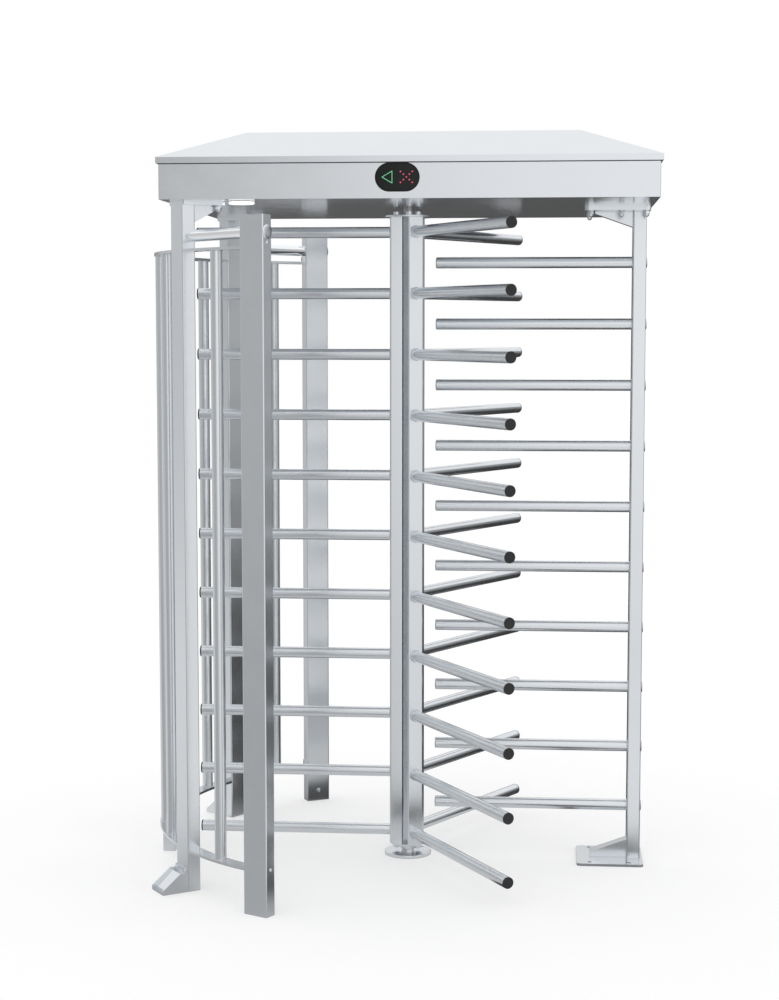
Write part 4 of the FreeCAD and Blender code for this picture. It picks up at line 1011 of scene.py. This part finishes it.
BRASS = Steel("plated_brass", tint=(0.72, 0.62, 0.38), roughness=0.25, grain=Grain.EVEN, scale=70.0,
              relief=0.3)
ALUMINIUM = Steel("plain_aluminium", tint=(0.72, 0.73, 0.74), roughness=0.38, grain=Grain.ALONG_Y,
                  scale=30.0, relief=0.15)
CAP_PLASTIC = Coat("cap_plastic", (0.022, 0.022, 0.023), roughness=0.55, relief=0.35, sheen=0.4)
CABLE = Coat("cable_sleeve", (0.04, 0.04, 0.045), roughness=0.42, grain_scale=90.0)
# Painted shadow: near-black coat for the strip that stands for the shade under the lid's lip.
LIP_SHADOW_COAT = Coat("lid_gasket", (0.09, 0.09, 0.095), roughness=0.6, grain_scale=90.0)
PRIMER = Coat("zinc_primer", (0.45, 0.47, 0.49), roughness=0.50, grain_scale=30.0, relief=0.4)
CAST = Coat("cast_iron", (0.30, 0.31, 0.32), roughness=0.50, grain_scale=25.0, relief=0.6,
            depth=0.3, metallic=0.6)
MOTOR_PAINT = Coat("motor_enamel", (0.07, 0.07, 0.08), roughness=0.32, grain_scale=35.0)
BOX_PAINT = Coat("powder_coat", (0.72, 0.73, 0.72), roughness=0.42, grain_scale=30.0, relief=0.35)
HOUSING = Coat("signal_housing", (0.008, 0.008, 0.008), roughness=0.30, grain_scale=60.0,
               relief=0.15, sheen=0.25)
SMOKED = Coat("smoked_lens", (0.009, 0.010, 0.010), roughness=0.14, spread=0.03, relief=0.03,
              sheen=0.25)
LAMP_RING = Coat("lamp_ring", (0.80, 0.80, 0.79), roughness=0.35, relief=0.15)
BOARD = Board()
GREEN_LAMP = Glow("green_lamps", (0.05, 0.20, 0.10), (0.16, 0.62, 0.30), 1.0)
RED_LAMP = Glow("red_lamps", (0.20, 0.03, 0.05), (0.70, 0.07, 0.15), 1.0)
GREEN_HALO = Glow("green_halo", (0.0, 0.02, 0.005), (0.0, 0.055, 0.014), 1.0)
RED_HALO = Glow("red_halo", (0.02, 0.0, 0.003), (0.16, 0.010, 0.030), 1.0)
DIFFUSER = Glow("lamp_diffuser", (0.9, 0.9, 0.9), (1.0, 1.0, 1.0), 1.05, scale=15.0)

Finish = Steel | Coat | Board | Glow

SLOT_FINISH: dict[str, Finish] = {
    "brushed_stainless": PLATE, "polished_stainless": TURNED, "stainless_fasteners": FASTENER,
    "black_plastic": CAP_PLASTIC, "bronze": BRONZE, "spring_steel": SPRING,
    "painted_frame": PRIMER, "cast_housing": CAST, "motor_paint": MOTOR_PAINT,
    "sensor_brass": BRASS, "enclosure_paint": BOX_PAINT, "circuit_board": BOARD,
    "supply_aluminium": ALUMINIUM, "cable_black": CABLE, "indicator_black": HOUSING,
    "light_diffuser": DIFFUSER}
NODE_SLOT: dict[str, str] = {part["node"]: part["material_slot"]
                             for part in frame["record"]["subparts"]}


def made(finish: Finish) -> Material:
    """Material of a finish, mixed once."""
    return bpy.data.materials.get(finish.name) or finish.material()


# Pieces

def place_piece(piece: Object, *nodes: str, body: str = "frame",
                slot: str = "brushed_stainless") -> None:
    """Tie a finished piece to its body and hide the CAD nodes it stands for.

    Args:
        piece: Finished piece, at the origin.
        *nodes: CAD nodes that it stands for.
        body: CAD body that it moves with.
        slot: Material slot of the record; not used.
    """
    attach(piece, body)
    if nodes:
        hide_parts(*nodes)
    LOG.info("%s: %d faces, on %s", piece.name, len(piece.data.polygons), body)


def eased(node: str, finish: Finish, edge: float = 0.8 * MM, rim: float | None = None,
          crease: float = SMOOTH_LIMIT) -> None:
    """Stand-in for a CAD plate, post or housing: the same form with its long edges rounded.

    Args:
        node: CAD node to copy.
        finish: Finish.
        edge: Width of the rounding; none where it is 0.
        rim: Height at which short edges are rounded too.
        crease: Angle from which an edge stays sharp.
    """
    shortest, sharpest = 9.0 * MM, math.radians(40.0)
    form = bmesh.new()
    form.from_mesh(frame["nodes"][node].data)
    bmesh.ops.remove_doubles(form, verts=form.verts[:], dist=0.02 * MM)
    bmesh.ops.dissolve_limit(form, angle_limit=math.radians(0.5), verts=form.verts[:],
                             edges=form.edges[:], delimit=set())
    bmesh.ops.recalc_face_normals(form, faces=form.faces[:])
    chosen = []
    for line in form.edges:
        on_rim = rim is not None and all(abs(v.co.z - rim) < 0.1 * MM for v in line.verts)
        if line.calc_face_angle(0.0) > sharpest and (on_rim or line.calc_length() > shortest):
            chosen.append(line)
    if edge and chosen:
        bmesh.ops.bevel(form, geom=chosen, offset=edge, segments=2, profile=0.5,
                        affect="EDGES", clamp_overlap=True)
    piece = settle(form, node + "_eased", finish, crease)
    weigh = piece.modifiers.new("weigh", "WEIGHTED_NORMAL")
    weigh.keep_sharp = True
    baked(piece)
    place_piece(piece, node, body=frame["nodes"][node]["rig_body"], slot=NODE_SLOT[node])


@dataclass(frozen=True)
class Tube:
    """Round tube that arms, bars and guides are cut from."""

    radius: float = 16.85 * MM
    wall: float = 2.0 * MM
    bead_out: float = 0.5 * MM
    bead: float = 1.7 * MM

    def rows(self, name: str, places: Places, length: float, count: int = 1,
             pitch: float = 0.0, finish: Steel = TUBE) -> Object:
        """Grow rows of tubes.

        Args:
            name: Name of the piece.
            places: Start and direction of the lowest tube of each row.
            length: Length of each tube.
            count: Tubes in a row.
            pitch: Distance from one to the next.
            finish: Finish.

        Returns:
            The tubes as one mesh.
        """
        return tube_jig().grow(name, marked(places), Count=count, Pitch=pitch, Radius=self.radius,
                               Wall=self.wall, Length=length, Material=made(finish))

    def welds(self, name: str, places: Places, count: int = 1, pitch: float = 0.0) -> Object:
        """Grow weld beads round the roots of rows of tubes.

        Args:
            name: Name of the piece.
            places: Root and direction of the lowest tube of each row.
            count: Tubes in a row.
            pitch: Distance from one to the next.

        Returns:
            The beads as one mesh.
        """
        return ring_jig().grow(name, marked(places), Count=count, Pitch=pitch, Bead=self.bead,
                               Radius=self.radius + self.bead_out, Material=made(WELD))


@dataclass(frozen=True)
class Plug:
    """Closed plug in the end of a tube, standing on the tube's end."""

    head: float
    rounding: float
    spigot: float
    dish: float
    play: float = 0.05 * MM
    chamfer: float = 0.8 * MM
    brim: float = 1.5 * MM
    slope: float = 0.5 * MM
    dimple: tuple[float, float] = (2.2 * MM, 1.8 * MM)
    tube: Tube = Tube()

    def form(self) -> Object:
        """Spigot, rim, rounded edge and a face that is dished or level.

        Returns:
            The plug.
        """
        bore = self.tube.radius - self.tube.wall - self.play
        r, h, f = self.tube.radius, self.head, self.rounding
        rims = [(bore - self.chamfer, -self.spigot), (bore, self.chamfer - self.spigot),
                (bore, 0.0), (r, 0.0), (r, h - f)]
        for k in range(1, 5):
            a = math.pi / 8 * k
            rims.append((r - f + f * math.cos(a), h - f + f * math.sin(a)))
        if self.dish:
            inner, low = r - f - self.brim, h - self.dish
            rims += [(inner, h), (inner - self.slope, low), (self.dimple[0], low),
                     (self.dimple[1], h - self.dish / 2)]
        return turned("plug", rims)


@dataclass(frozen=True)
class CapScrew:
    """Socket cap screw that seats at its origin; its rims are shares of its thread's size."""

    size: float
    length: float
    shank: tuple[Rim, ...] = ((0.35, 0.0), (0.49, 0.12))
    head: tuple[Rim, ...] = (
        (0.49, 0.0), (0.77, 0.0), (0.80, 0.03), (0.80, 0.90), (0.70, 1.0), (0.54, 1.0),
        (0.42, 0.96, HEX), (0.42, 0.50, HEX), (0.252, 0.47), (0.03, 0.36))

    def form(self) -> Object:
        """Shank, head with a chamfer, hexagonal socket and its drilled point.

        Returns:
            The screw.
        """
        d = self.size
        rims = [(d * r, d * z - self.length) for r, z in self.shank]
        return turned("screw", rims + [(d * r, d * z, *flats) for r, z, *flats in self.head])


@dataclass(frozen=True)
class ButtonBolt:
    """Button head bolt that seats at its origin.

    Its radii are shares of its thread's size, and the heights of its head of the head's height.
    """

    size: float
    length: float
    head_height: float = 3.3 * MM
    head: float = 0.875
    brim: float = 0.4 * MM
    fall: float = 0.72
    shank: tuple[Rim, ...] = ((0.35, 0.0), (0.49, 0.1))
    dome: tuple[float, ...] = (0.35, 0.65, 0.88)
    socket: tuple[Rim, ...] = ((0.49, 1.0), (0.34, 0.97, HEX), (0.34, 0.35, HEX), (0.03, 0.25))

    def form(self) -> Object:
        """Shank, low dome and hexagonal socket.

        Returns:
            The bolt.
        """
        d, head, h = self.size, self.size * self.head, self.head_height
        rims = [(d * r, d * z - self.length) for r, z in self.shank]
        rims += [(rims[-1][0], 0.0), (head, 0.0), (head, self.brim)]
        rims += [(head * math.sqrt(1.0 - share * share * self.fall), h * share)
                 for share in self.dome]
        return turned("bolt", rims + [(d * r, h * z, *flats) for r, z, *flats in self.socket])


@dataclass(frozen=True)
class DomeNutBolt:
    """Bolt with a washer and a domed nut, seated at its origin with the nut up.

    Its rims are in millimetres, those of the head from the far side of what it clamps.
    """

    grip: float
    flat: float = 9.2 * math.cos(math.radians(30.0))
    head: tuple[Rim, ...] = ((7.0, -6.5), (8.0, -5.5), (8.0, 0.0), (5.1, 0.0))
    washer: tuple[Rim, ...] = ((5.1, 0.0), (10.2, 0.0), (10.5, 0.3), (10.5, 1.7), (10.2, 2.0))
    nut: tuple[Rim, ...] = ((2.0,), (2.6, HEX), (10.2, HEX), (11.0,))
    dome: tuple[float, float, float] = (7.7, 8.6, 11.2)

    def form(self) -> Object:
        """Head at the far side, shank, washer, chamfered hexagon and dome.

        Returns:
            The bolt with its nut.
        """
        rims = [(r * MM, z * MM - self.grip) for r, z in self.head]
        rims += [(r * MM, z * MM) for r, z in self.washer]
        rims += [(self.flat * MM, z * MM, *flats) for z, *flats in self.nut]
        return turned("nut", rims + dome_rims(*[size * MM for size in self.dome]))


def stand(name: str, unit: Object, places: Places, finish: Finish) -> Object:
    """Put a small piece on each place and remove the sample.

    Args:
        name: Name of the group.
        unit: Sample of the piece.
        places: Point and direction of each.
        finish: Finish.

    Returns:
        The group as one mesh.
    """
    group = stand_jig().grow(name, marked(places), Piece=unit, Material=made(finish))
    bpy.data.objects.remove(unit)
    return group


@dataclass
class Rotor:
    """Three wings of arms that turn about the upright axis."""

    wings: tuple[tuple[str, float], ...] = (("left", 180.0), ("front", 300.0), ("back", 60.0))
    levels: int = 11
    pitch: float = 185.0 * MM
    lowest: float = 75.0 * MM
    root: float = 18.3 * MM
    post_face: float = 55.0 * MM
    reach: float = 650.0 * MM
    cap: Plug = Plug(head=4.0 * MM, rounding=0.8 * MM, spigot=20.0 * MM, dish=0.5 * MM)
    screw: CapScrew = CapScrew(size=12.0 * MM, length=26.0 * MM)
    screw_radial: float = 35.0 * MM
    screw_side: float = 15.0 * MM
    seat_top: float = 1975.0 * MM
    seat_bottom: float = 35.0 * MM
    tube: Tube = Tube()

    def build(self) -> None:
        """Arms, caps, welds, screws, and the posts and flanges that carry them."""
        stop = self.reach - self.cap.head
        for name, azimuth in self.wings:
            place = (self.at(azimuth, self.root), turned_way(azimuth))
            arms = self.tube.rows("arms_" + name, [place], stop - self.root, self.levels,
                                  self.pitch)
            place_piece(arms, "rotor_arms_" + name, body="rotor")
            eased("rotor_post_" + name, UPRIGHT, edge=0.0)
        roots = [(self.at(a, self.post_face), turned_way(a)) for _, a in self.wings]
        place_piece(self.tube.welds("arm_welds", roots, self.levels, self.pitch), body="rotor")
        ends = [(self.at(a, stop, k), turned_way(a))
                for _, a in self.wings for k in range(self.levels)]
        place_piece(stand("arm_caps", self.cap.form(), ends, CAP_PLASTIC), "arm_end_caps",
                    body="rotor", slot="black_plastic")
        seats = [(turned_point(a, self.screw_radial, side, z), way) for _, a in self.wings
                 for side in (-self.screw_side, self.screw_side)
                 for z, way in ((self.seat_top, UP), (self.seat_bottom, DOWN))]
        place_piece(stand("flange_screws", self.screw.form(), seats, FASTENER),
                    "rotor_flange_screws", body="rotor", slot="stainless_fasteners")
        for node in ("rotor_top_flange", "rotor_bottom_disc", "floor_flange"):
            eased(node, TURNED, edge=0.0)

    def at(self, azimuth: float, out: float, level: int = 0) -> Vector:
        """Point on the centre line of an arm."""
        return turned_point(azimuth, out, 0.0, self.lowest + level * self.pitch)


@dataclass
class Comb:
    """Post with fixed bars between which the arms pass."""

    bars: int = 10
    pitch: float = 185.0 * MM
    lowest: float = 167.5 * MM
    tip: float = 84.0 * MM
    tail: float = 721.0 * MM
    post_near: float = 677.0 * MM
    post_far: float = 717.0 * MM
    post_half: float = 40.0 * MM
    plug: Plug = Plug(head=4.0 * MM, rounding=3.4 * MM, spigot=11.5 * MM, dish=0.0)
    gusset_half: float = 22.5 * MM
    gusset_tip: float = 566.0 * MM
    foot_top: float = 8.0 * MM
    head_low: float = 1983.0 * MM
    foot_gusset: float = 55.0 * MM
    head_gusset: float = 45.0 * MM
    seam: float = 1.6 * MM
    seam_pitch: float = 2.4 * MM
    tube: Tube = Tube()

    def build(self) -> None:
        """Bars, plugs, welds, post, foot and bracket."""
        start, end = self.tip + self.plug.head, self.tail - self.plug.head
        bars = self.tube.rows("comb_bar_tubes", [(Vector((start, 0, self.lowest)), RIGHT)],
                              end - start, self.bars, self.pitch)
        place_piece(bars, "comb_bars")
        ends = [(Vector((x, 0, self.lowest + k * self.pitch)), way)
                for k in range(self.bars) for x, way in ((start, -RIGHT), (end, RIGHT))]
        place_piece(stand("comb_bar_plugs", self.plug.form(), ends, PLUG), "comb_bars")
        roots = [(Vector((x, 0, self.lowest)), RIGHT) for x in (self.post_near, self.post_far)]
        place_piece(self.tube.welds("comb_bar_welds", roots, self.bars, self.pitch))
        place_piece(bead_jig().grow("comb_seams", drawn(self.seams()), Bead=self.seam,
                                    Pitch=self.seam_pitch, Material=made(WELD)))
        eased("comb_post", UPRIGHT, edge=0.0)
        eased("comb_foot", PLATE)
        eased("comb_top_bracket", PLATE)

    def seams(self) -> list[Loop]:
        """Lines of the welds round the post's ends and beside the gussets.

        Returns:
            The lines.
        """
        lines = []
        near, far = self.post_near, self.post_far
        for z, rise in ((self.foot_top, self.foot_gusset), (self.head_low, -self.head_gusset)):
            for side in (-1, 1):
                y, edge = side * self.gusset_half, side * self.post_half
                for line in (((self.gusset_tip, y, z), (near, y, z), (near, y, z + rise)),
                             ((near, y, z), (near, edge, z), (far, edge, z), (far, 0, z))):
                    lines.append([Vector(point) for point in line])
        return lines


@dataclass
class Cage:
    """Posts, bands and upright tubes that guide the visitor round the rotor."""

    tube_azimuths: tuple[float, ...] = (191.4, 203.6, 228.6)
    ring: float = 748.0 * MM
    low: float = 126.0 * MM
    high: float = 1850.0 * MM
    end_ring: float = 742.0 * MM
    post_ring: float = 728.0 * MM
    post_half: float = 40.0 * MM
    post_deep: float = 20.0 * MM
    end_azimuth: float = 241.1
    front_azimuth: float = 215.0
    side_azimuth: float = 180.0
    end_top: float = 1942.0 * MM
    side_top: float = 1858.0 * MM
    band_bolts: tuple[float, ...] = (132.0 * MM, 1866.0 * MM)
    foot_bolts: tuple[float, float, float] = (45.0 * MM, 28.0 * MM, 60.0 * MM)
    socket_bolts: float = 35.0 * MM
    small_bolt: ButtonBolt = ButtonBolt(6.0 * MM, 9.0 * MM)
    large_bolt: ButtonBolt = ButtonBolt(9.0 * MM, 9.0 * MM, 4.5 * MM)
    rail_height: float = 1895.0 * MM
    rail_entry: float = 5.0 * MM
    rail_cap: tuple[Rim, ...] = ((10.0 * MM, -10.0 * MM), (10.5 * MM, 0.0), (20.0 * MM, 0.0))
    rail_dome: tuple[float, float, float] = (20.0 * MM, 4.4 * MM, 0.6 * MM)
    tube: Tube = Tube()

    def build(self) -> None:
        """Guide tubes and their welds, bolts, and the plates and posts."""
        feet, tops = ([(turned_point(a, self.ring, 0.0, z), UP) for base in self.tube_azimuths
                       for a in (base, 360.0 - base)] for z in (self.low, self.high))
        tubes = self.tube.rows("guide_tube_row", feet, self.high - self.low)
        place_piece(tubes, "guide_tubes")
        place_piece(self.tube.welds("guide_tube_welds", feet + tops))
        for name in ("front", "back"):
            eased("post_" + name, UPRIGHT, edge=0.0)
            eased("post_%s_end" % name, UPRIGHT, rim=self.end_top)
        eased("post_side", UPRIGHT, rim=self.side_top)
        for node in ("guide_band_bottom", "guide_band_top"):
            eased(node, BAND, edge=0.6 * MM)
        for node in ("cage_feet", "cage_brackets"):
            eased(node, PLATE)
        self.head_rails()
        for name, bolt, places in (("button_bolts", self.small_bolt, self.bolt_places()),
                                   ("socket_bolts", self.large_bolt, self.socket_places())):
            place_piece(stand(name, bolt.form(), places, FASTENER), "dome_bolts",
                        slot="stainless_fasteners")

    def head_rails(self) -> None:
        """Rails from the canopy posts to the end posts, and a cap on each end post's far side."""
        lines, caps = [], []
        deep, height = self.post_deep, self.rail_height
        for side in (1, -1):
            azimuth = 180.0 + side * (self.front_azimuth - 180.0)
            front = turned_point(azimuth, self.post_ring + deep, 0.0, height)
            azimuth = 180.0 + side * (self.end_azimuth - 180.0)
            entry, out = (turned_point(azimuth, self.end_ring + deep, beside * self.post_half,
                                       height) for beside in (-side, side))
            way = (entry - front).normalized()
            lines.append((front + way * deep, way))
            caps.append((out, turned_way(azimuth + side * 90.0)))
        length = (entry - front).length - deep + self.rail_entry
        place_piece(self.tube.rows("head_rail_tubes", lines, length, finish=RAIL), "head_rails")
        sample = turned("cap", [*self.rail_cap, *dome_rims(*self.rail_dome)])
        place_piece(stand("head_rail_caps", sample, caps, PLUG), "head_rails")

    def bolt_places(self) -> Places:
        """Bolts through the end posts and the feet.

        Returns:
            Seat and direction of each.
        """
        out, across, foot = self.foot_bolts
        ends = [(turned_point(azimuth, self.end_ring + self.post_deep, side * self.post_half, z),
                 turned_way(azimuth + side * 90.0))
                for azimuth, side in ((self.end_azimuth, 1), (360.0 - self.end_azimuth, -1))
                for z in self.band_bolts]
        return ends + [(turned_point(a, self.post_ring + out, side, foot), turned_way(a))
                       for a in (self.front_azimuth, 360.0 - self.front_azimuth)
                       for side in (-across, across)]

    def socket_places(self) -> Places:
        """Bolts that hold the posts without feet to their floor sockets."""
        sockets = ((self.end_ring, self.end_azimuth), (self.post_ring, self.side_azimuth),
                   (self.end_ring, 360.0 - self.end_azimuth))
        return [(turned_point(azimuth, inner, 0.0, self.socket_bolts), turned_way(azimuth + 180.0))
                for inner, azimuth in sockets]


@dataclass
class Signal:
    """Black signal with a lit triangle and cross, one on each long side of the canopy.

    The steps of the housing and the lens are in millimetres: what is taken off the outline, and the
    depth behind the face.
    """

    x: float = 5.0 * MM
    z: float = 2053.0 * MM
    face: float = -504.0 * MM
    width: float = 125.0 * MM
    height: float = 80.0 * MM
    lamp_depth: float = 0.4 * MM
    halo_depth: float = 0.95 * MM
    housing: tuple[tuple[float, float], ...] = (
        (10.0, 38.0), (10.0, 4.0), (0.0, 4.0), (0.0, 1.5), (0.4, 0.7), (1.2, 0.2), (2.4, 0.0),
        (5.4, 0.0), (6.2, 0.3), (6.6, 1.2))
    lens: tuple[tuple[float, float], ...] = ((6.8, 1.3), (6.8, 0.7), (7.3, 0.45), (8.3, 0.4))
    triangle: tuple[tuple[float, float], ...] = (
        (-42.5 * MM, 0.0), (-14.5 * MM, 16.5 * MM), (-14.5 * MM, -16.5 * MM))
    cross: tuple[float, float, float] = (25.5 * MM, 16.5 * MM, 15.0 * MM)

    def build(self, name: str, turn: float) -> None:
        """One signal.

        Args:
            name: Which side it is on.
            turn: Angle about the upright line through the signals.
        """
        spin = Matrix.Rotation(math.radians(turn), 4, "Z")
        place = Matrix.Translation((self.x, 0.0, self.z)) @ spin
        pieces = [(settle(lofted([stadium_loop(self.width - trim * MM, self.height - trim * MM,
                                               self.face + back * MM) for trim, back in steps]),
                          part + name, finish), nodes)
                  for part, steps, finish, nodes in (
                      ("signal_housing_", self.housing, HOUSING, ["indicator_" + name]),
                      ("signal_lens_", self.lens, SMOKED, []))]
        halo, lamp = self.face + self.halo_depth, self.face + self.lamp_depth
        for kind, lines, finish, pitch, radius, flat in (
                ("go_halo", self.arrow(halo), GREEN_HALO, 1.2 * MM, 2.4 * MM, 0.3),
                ("stop_halo", self.strokes(halo), RED_HALO, 1.2 * MM, 1.9 * MM, 0.3),
                ("go_lamps", self.arrow(lamp), GREEN_LAMP, 1.5 * MM, 1.0 * MM, 0.4),
                ("stop_lamps", self.strokes(lamp), RED_LAMP, 11.0 * MM, 2.3 * MM, 0.4)):
            row = lamp_jig().grow("signal_%s_%s" % (kind, name), drawn(lines), Pitch=pitch,
                                  Radius=radius, Height=flat, Material=made(finish))
            pieces.append((row, []))
        for piece, nodes in pieces:
            piece.data.transform(place)
            place_piece(piece, *nodes, slot="indicator_black")

    def arrow(self, depth: float) -> list[Loop]:
        """Sides of the triangle, which points to the left."""
        corners = [Vector((x, depth, z)) for x, z in self.triangle]
        return [[corners[k - 1], corners[k]] for k in (1, 2, 0)]

    def strokes(self, depth: float) -> list[Loop]:
        """Two strokes of the cross."""
        middle, wide, tall = self.cross
        return [[Vector((middle - wide, depth, z)), Vector((middle + wide, depth, -z))]
                for z in (-tall, tall)]


@dataclass
class PassageLight:
    """Round lamp under the canopy that lights the way in; its rims are in millimetres."""

    place: Vector = Vector((-448.0 * MM, -400.0 * MM, 1995.0 * MM))
    sides: int = 48
    ring: tuple[Rim, ...] = ((7.5, 14.0), (7.9, 0.0), (37.5, 0.0), (37.5, -1.6), (36.9, -2.0),
                             (34.5, -2.0))
    lens: tuple[Rim, ...] = ((36.7, -1.9), (36.7, -6.0))
    rounding: tuple[float, float] = (3.0, 2.4)
    middle: Rim = (18.75, -8.85)

    def build(self) -> None:
        """Ring against the panel and a frosted lens below it."""
        (radius, low), (wide, tall) = self.lens[-1], self.rounding
        angles = [math.pi / 10 * k for k in range(1, 6)]
        edge = [(radius - wide * (1.0 - math.cos(a)), low - tall * math.sin(a)) for a in angles]
        for name, rims, finish, nodes in (
                ("lamp_ring", self.ring, LAMP_RING, ["passage_light"]),
                ("lamp_lens", (*self.lens, *edge, self.middle), DIFFUSER, [])):
            piece = turned(name, [(r * MM, z * MM) for r, z in rims], finish, self.sides)
            piece.data.transform(Matrix.Translation(self.place))
            place_piece(piece, *nodes, slot="light_diffuser")


@dataclass
class Canopy:
    """Sheet metal head over the rotor, with its brackets' bolts."""

    bolt: DomeNutBolt = DomeNutBolt(grip=24.0 * MM)
    seat: float = 1983.0 * MM
    comb_bolts: tuple[float, ...] = (549.0 * MM, 640.0 * MM, 714.0 * MM)
    bolt_side: float = 85.0 * MM
    cage_azimuth: float = 215.0
    cage_ring: float = 652.0 * MM
    cage_side: float = 36.0 * MM
    strip: tuple[float, float] = (2092.6 * MM, 2095.0 * MM)
    strip_proud: float = 1.2 * MM
    strip_deep: float = 6.0 * MM
    left: float = -668.0 * MM
    right: float = 732.0 * MM
    half: float = 500.0 * MM

    def build(self) -> None:
        """Fascia, roof, panels and the bolts that hang through the frame."""
        eased("canopy_fascia", LEVEL_SHEET)
        eased("roof_lid", ROOF_SHEET, edge=1.2 * MM, crease=math.radians(15.0))
        for side in ("left", "right"):
            eased("underside_panel_" + side, PANEL, edge=0.9 * MM)
        # Painted shadow: a dark strip under the lid's lip.
        self.lip_shadow()
        places = [(Vector((x, side, self.seat)), DOWN)
                  for x in self.comb_bolts for side in (-self.bolt_side, self.bolt_side)]
        places += [(turned_point(azimuth, self.cage_ring, side, self.seat), DOWN)
                   for azimuth in (self.cage_azimuth, 360.0 - self.cage_azimuth)
                   for side in (-self.cage_side, self.cage_side)]
        place_piece(stand("dome_nut_bolts", self.bolt.form(), places, FASTENER), "bracket_bolts",
                    slot="stainless_fasteners")

    def lip_shadow(self) -> None:
        """Thin dark strip between the lid's lip and the fascia, put there as a painted shadow under
        the lip.
        """
        low, high = self.strip
        x0, x1 = self.left - self.strip_proud, self.right + self.strip_proud
        y1, deep = self.half + self.strip_proud, self.strip_deep
        form = bmesh.new()
        for box in ((x0, x1, -y1, deep - y1), (x0, x1, y1 - deep, y1),
                    (x0, x0 + deep, deep - y1, y1 - deep), (x1 - deep, x1, deep - y1, y1 - deep)):
            size = Vector((box[1] - box[0], box[3] - box[2], high - low))
            middle = Vector(((box[0] + box[1]) / 2, (box[2] + box[3]) / 2, (low + high) / 2))
            bmesh.ops.create_cube(form, size=1.0,
                                  matrix=Matrix.Translation(middle) @ Matrix.Diagonal((*size, 1.0)))
        # Painted shadow: this dark strip stands for the shade in the gap under the lip.
        place_piece(settle(form, "lid_gasket", LIP_SHADOW_COAT), slot="cable_black")


def dress_frame() -> None:
    """Give every CAD node the finish of its slot; pieces then stand in for the ones in view.

    A slot without a finish, which is machined steel, keeps the frame's plain material.
    """
    for node, slot in sorted(NODE_SLOT.items()):
        mesh, finish = frame["nodes"][node].data, SLOT_FINISH.get(slot)
        mesh.materials.clear()
        mesh.materials.append(made(finish) if finish else bpy.data.materials[slot])
        LOG.info("%s: %s", node, slot)


def main() -> None:
    """Build the studio and every piece."""
    logging.basicConfig(level=logging.INFO)
    Studio().build()
    dress_frame()
    Rotor().build()
    Comb().build()
    Cage().build()
    Canopy().build()
    Signal().build("front", 0.0)
    Signal().build("rear", 180.0)
    PassageLight().build()


if __name__ == "__main__":
    main()
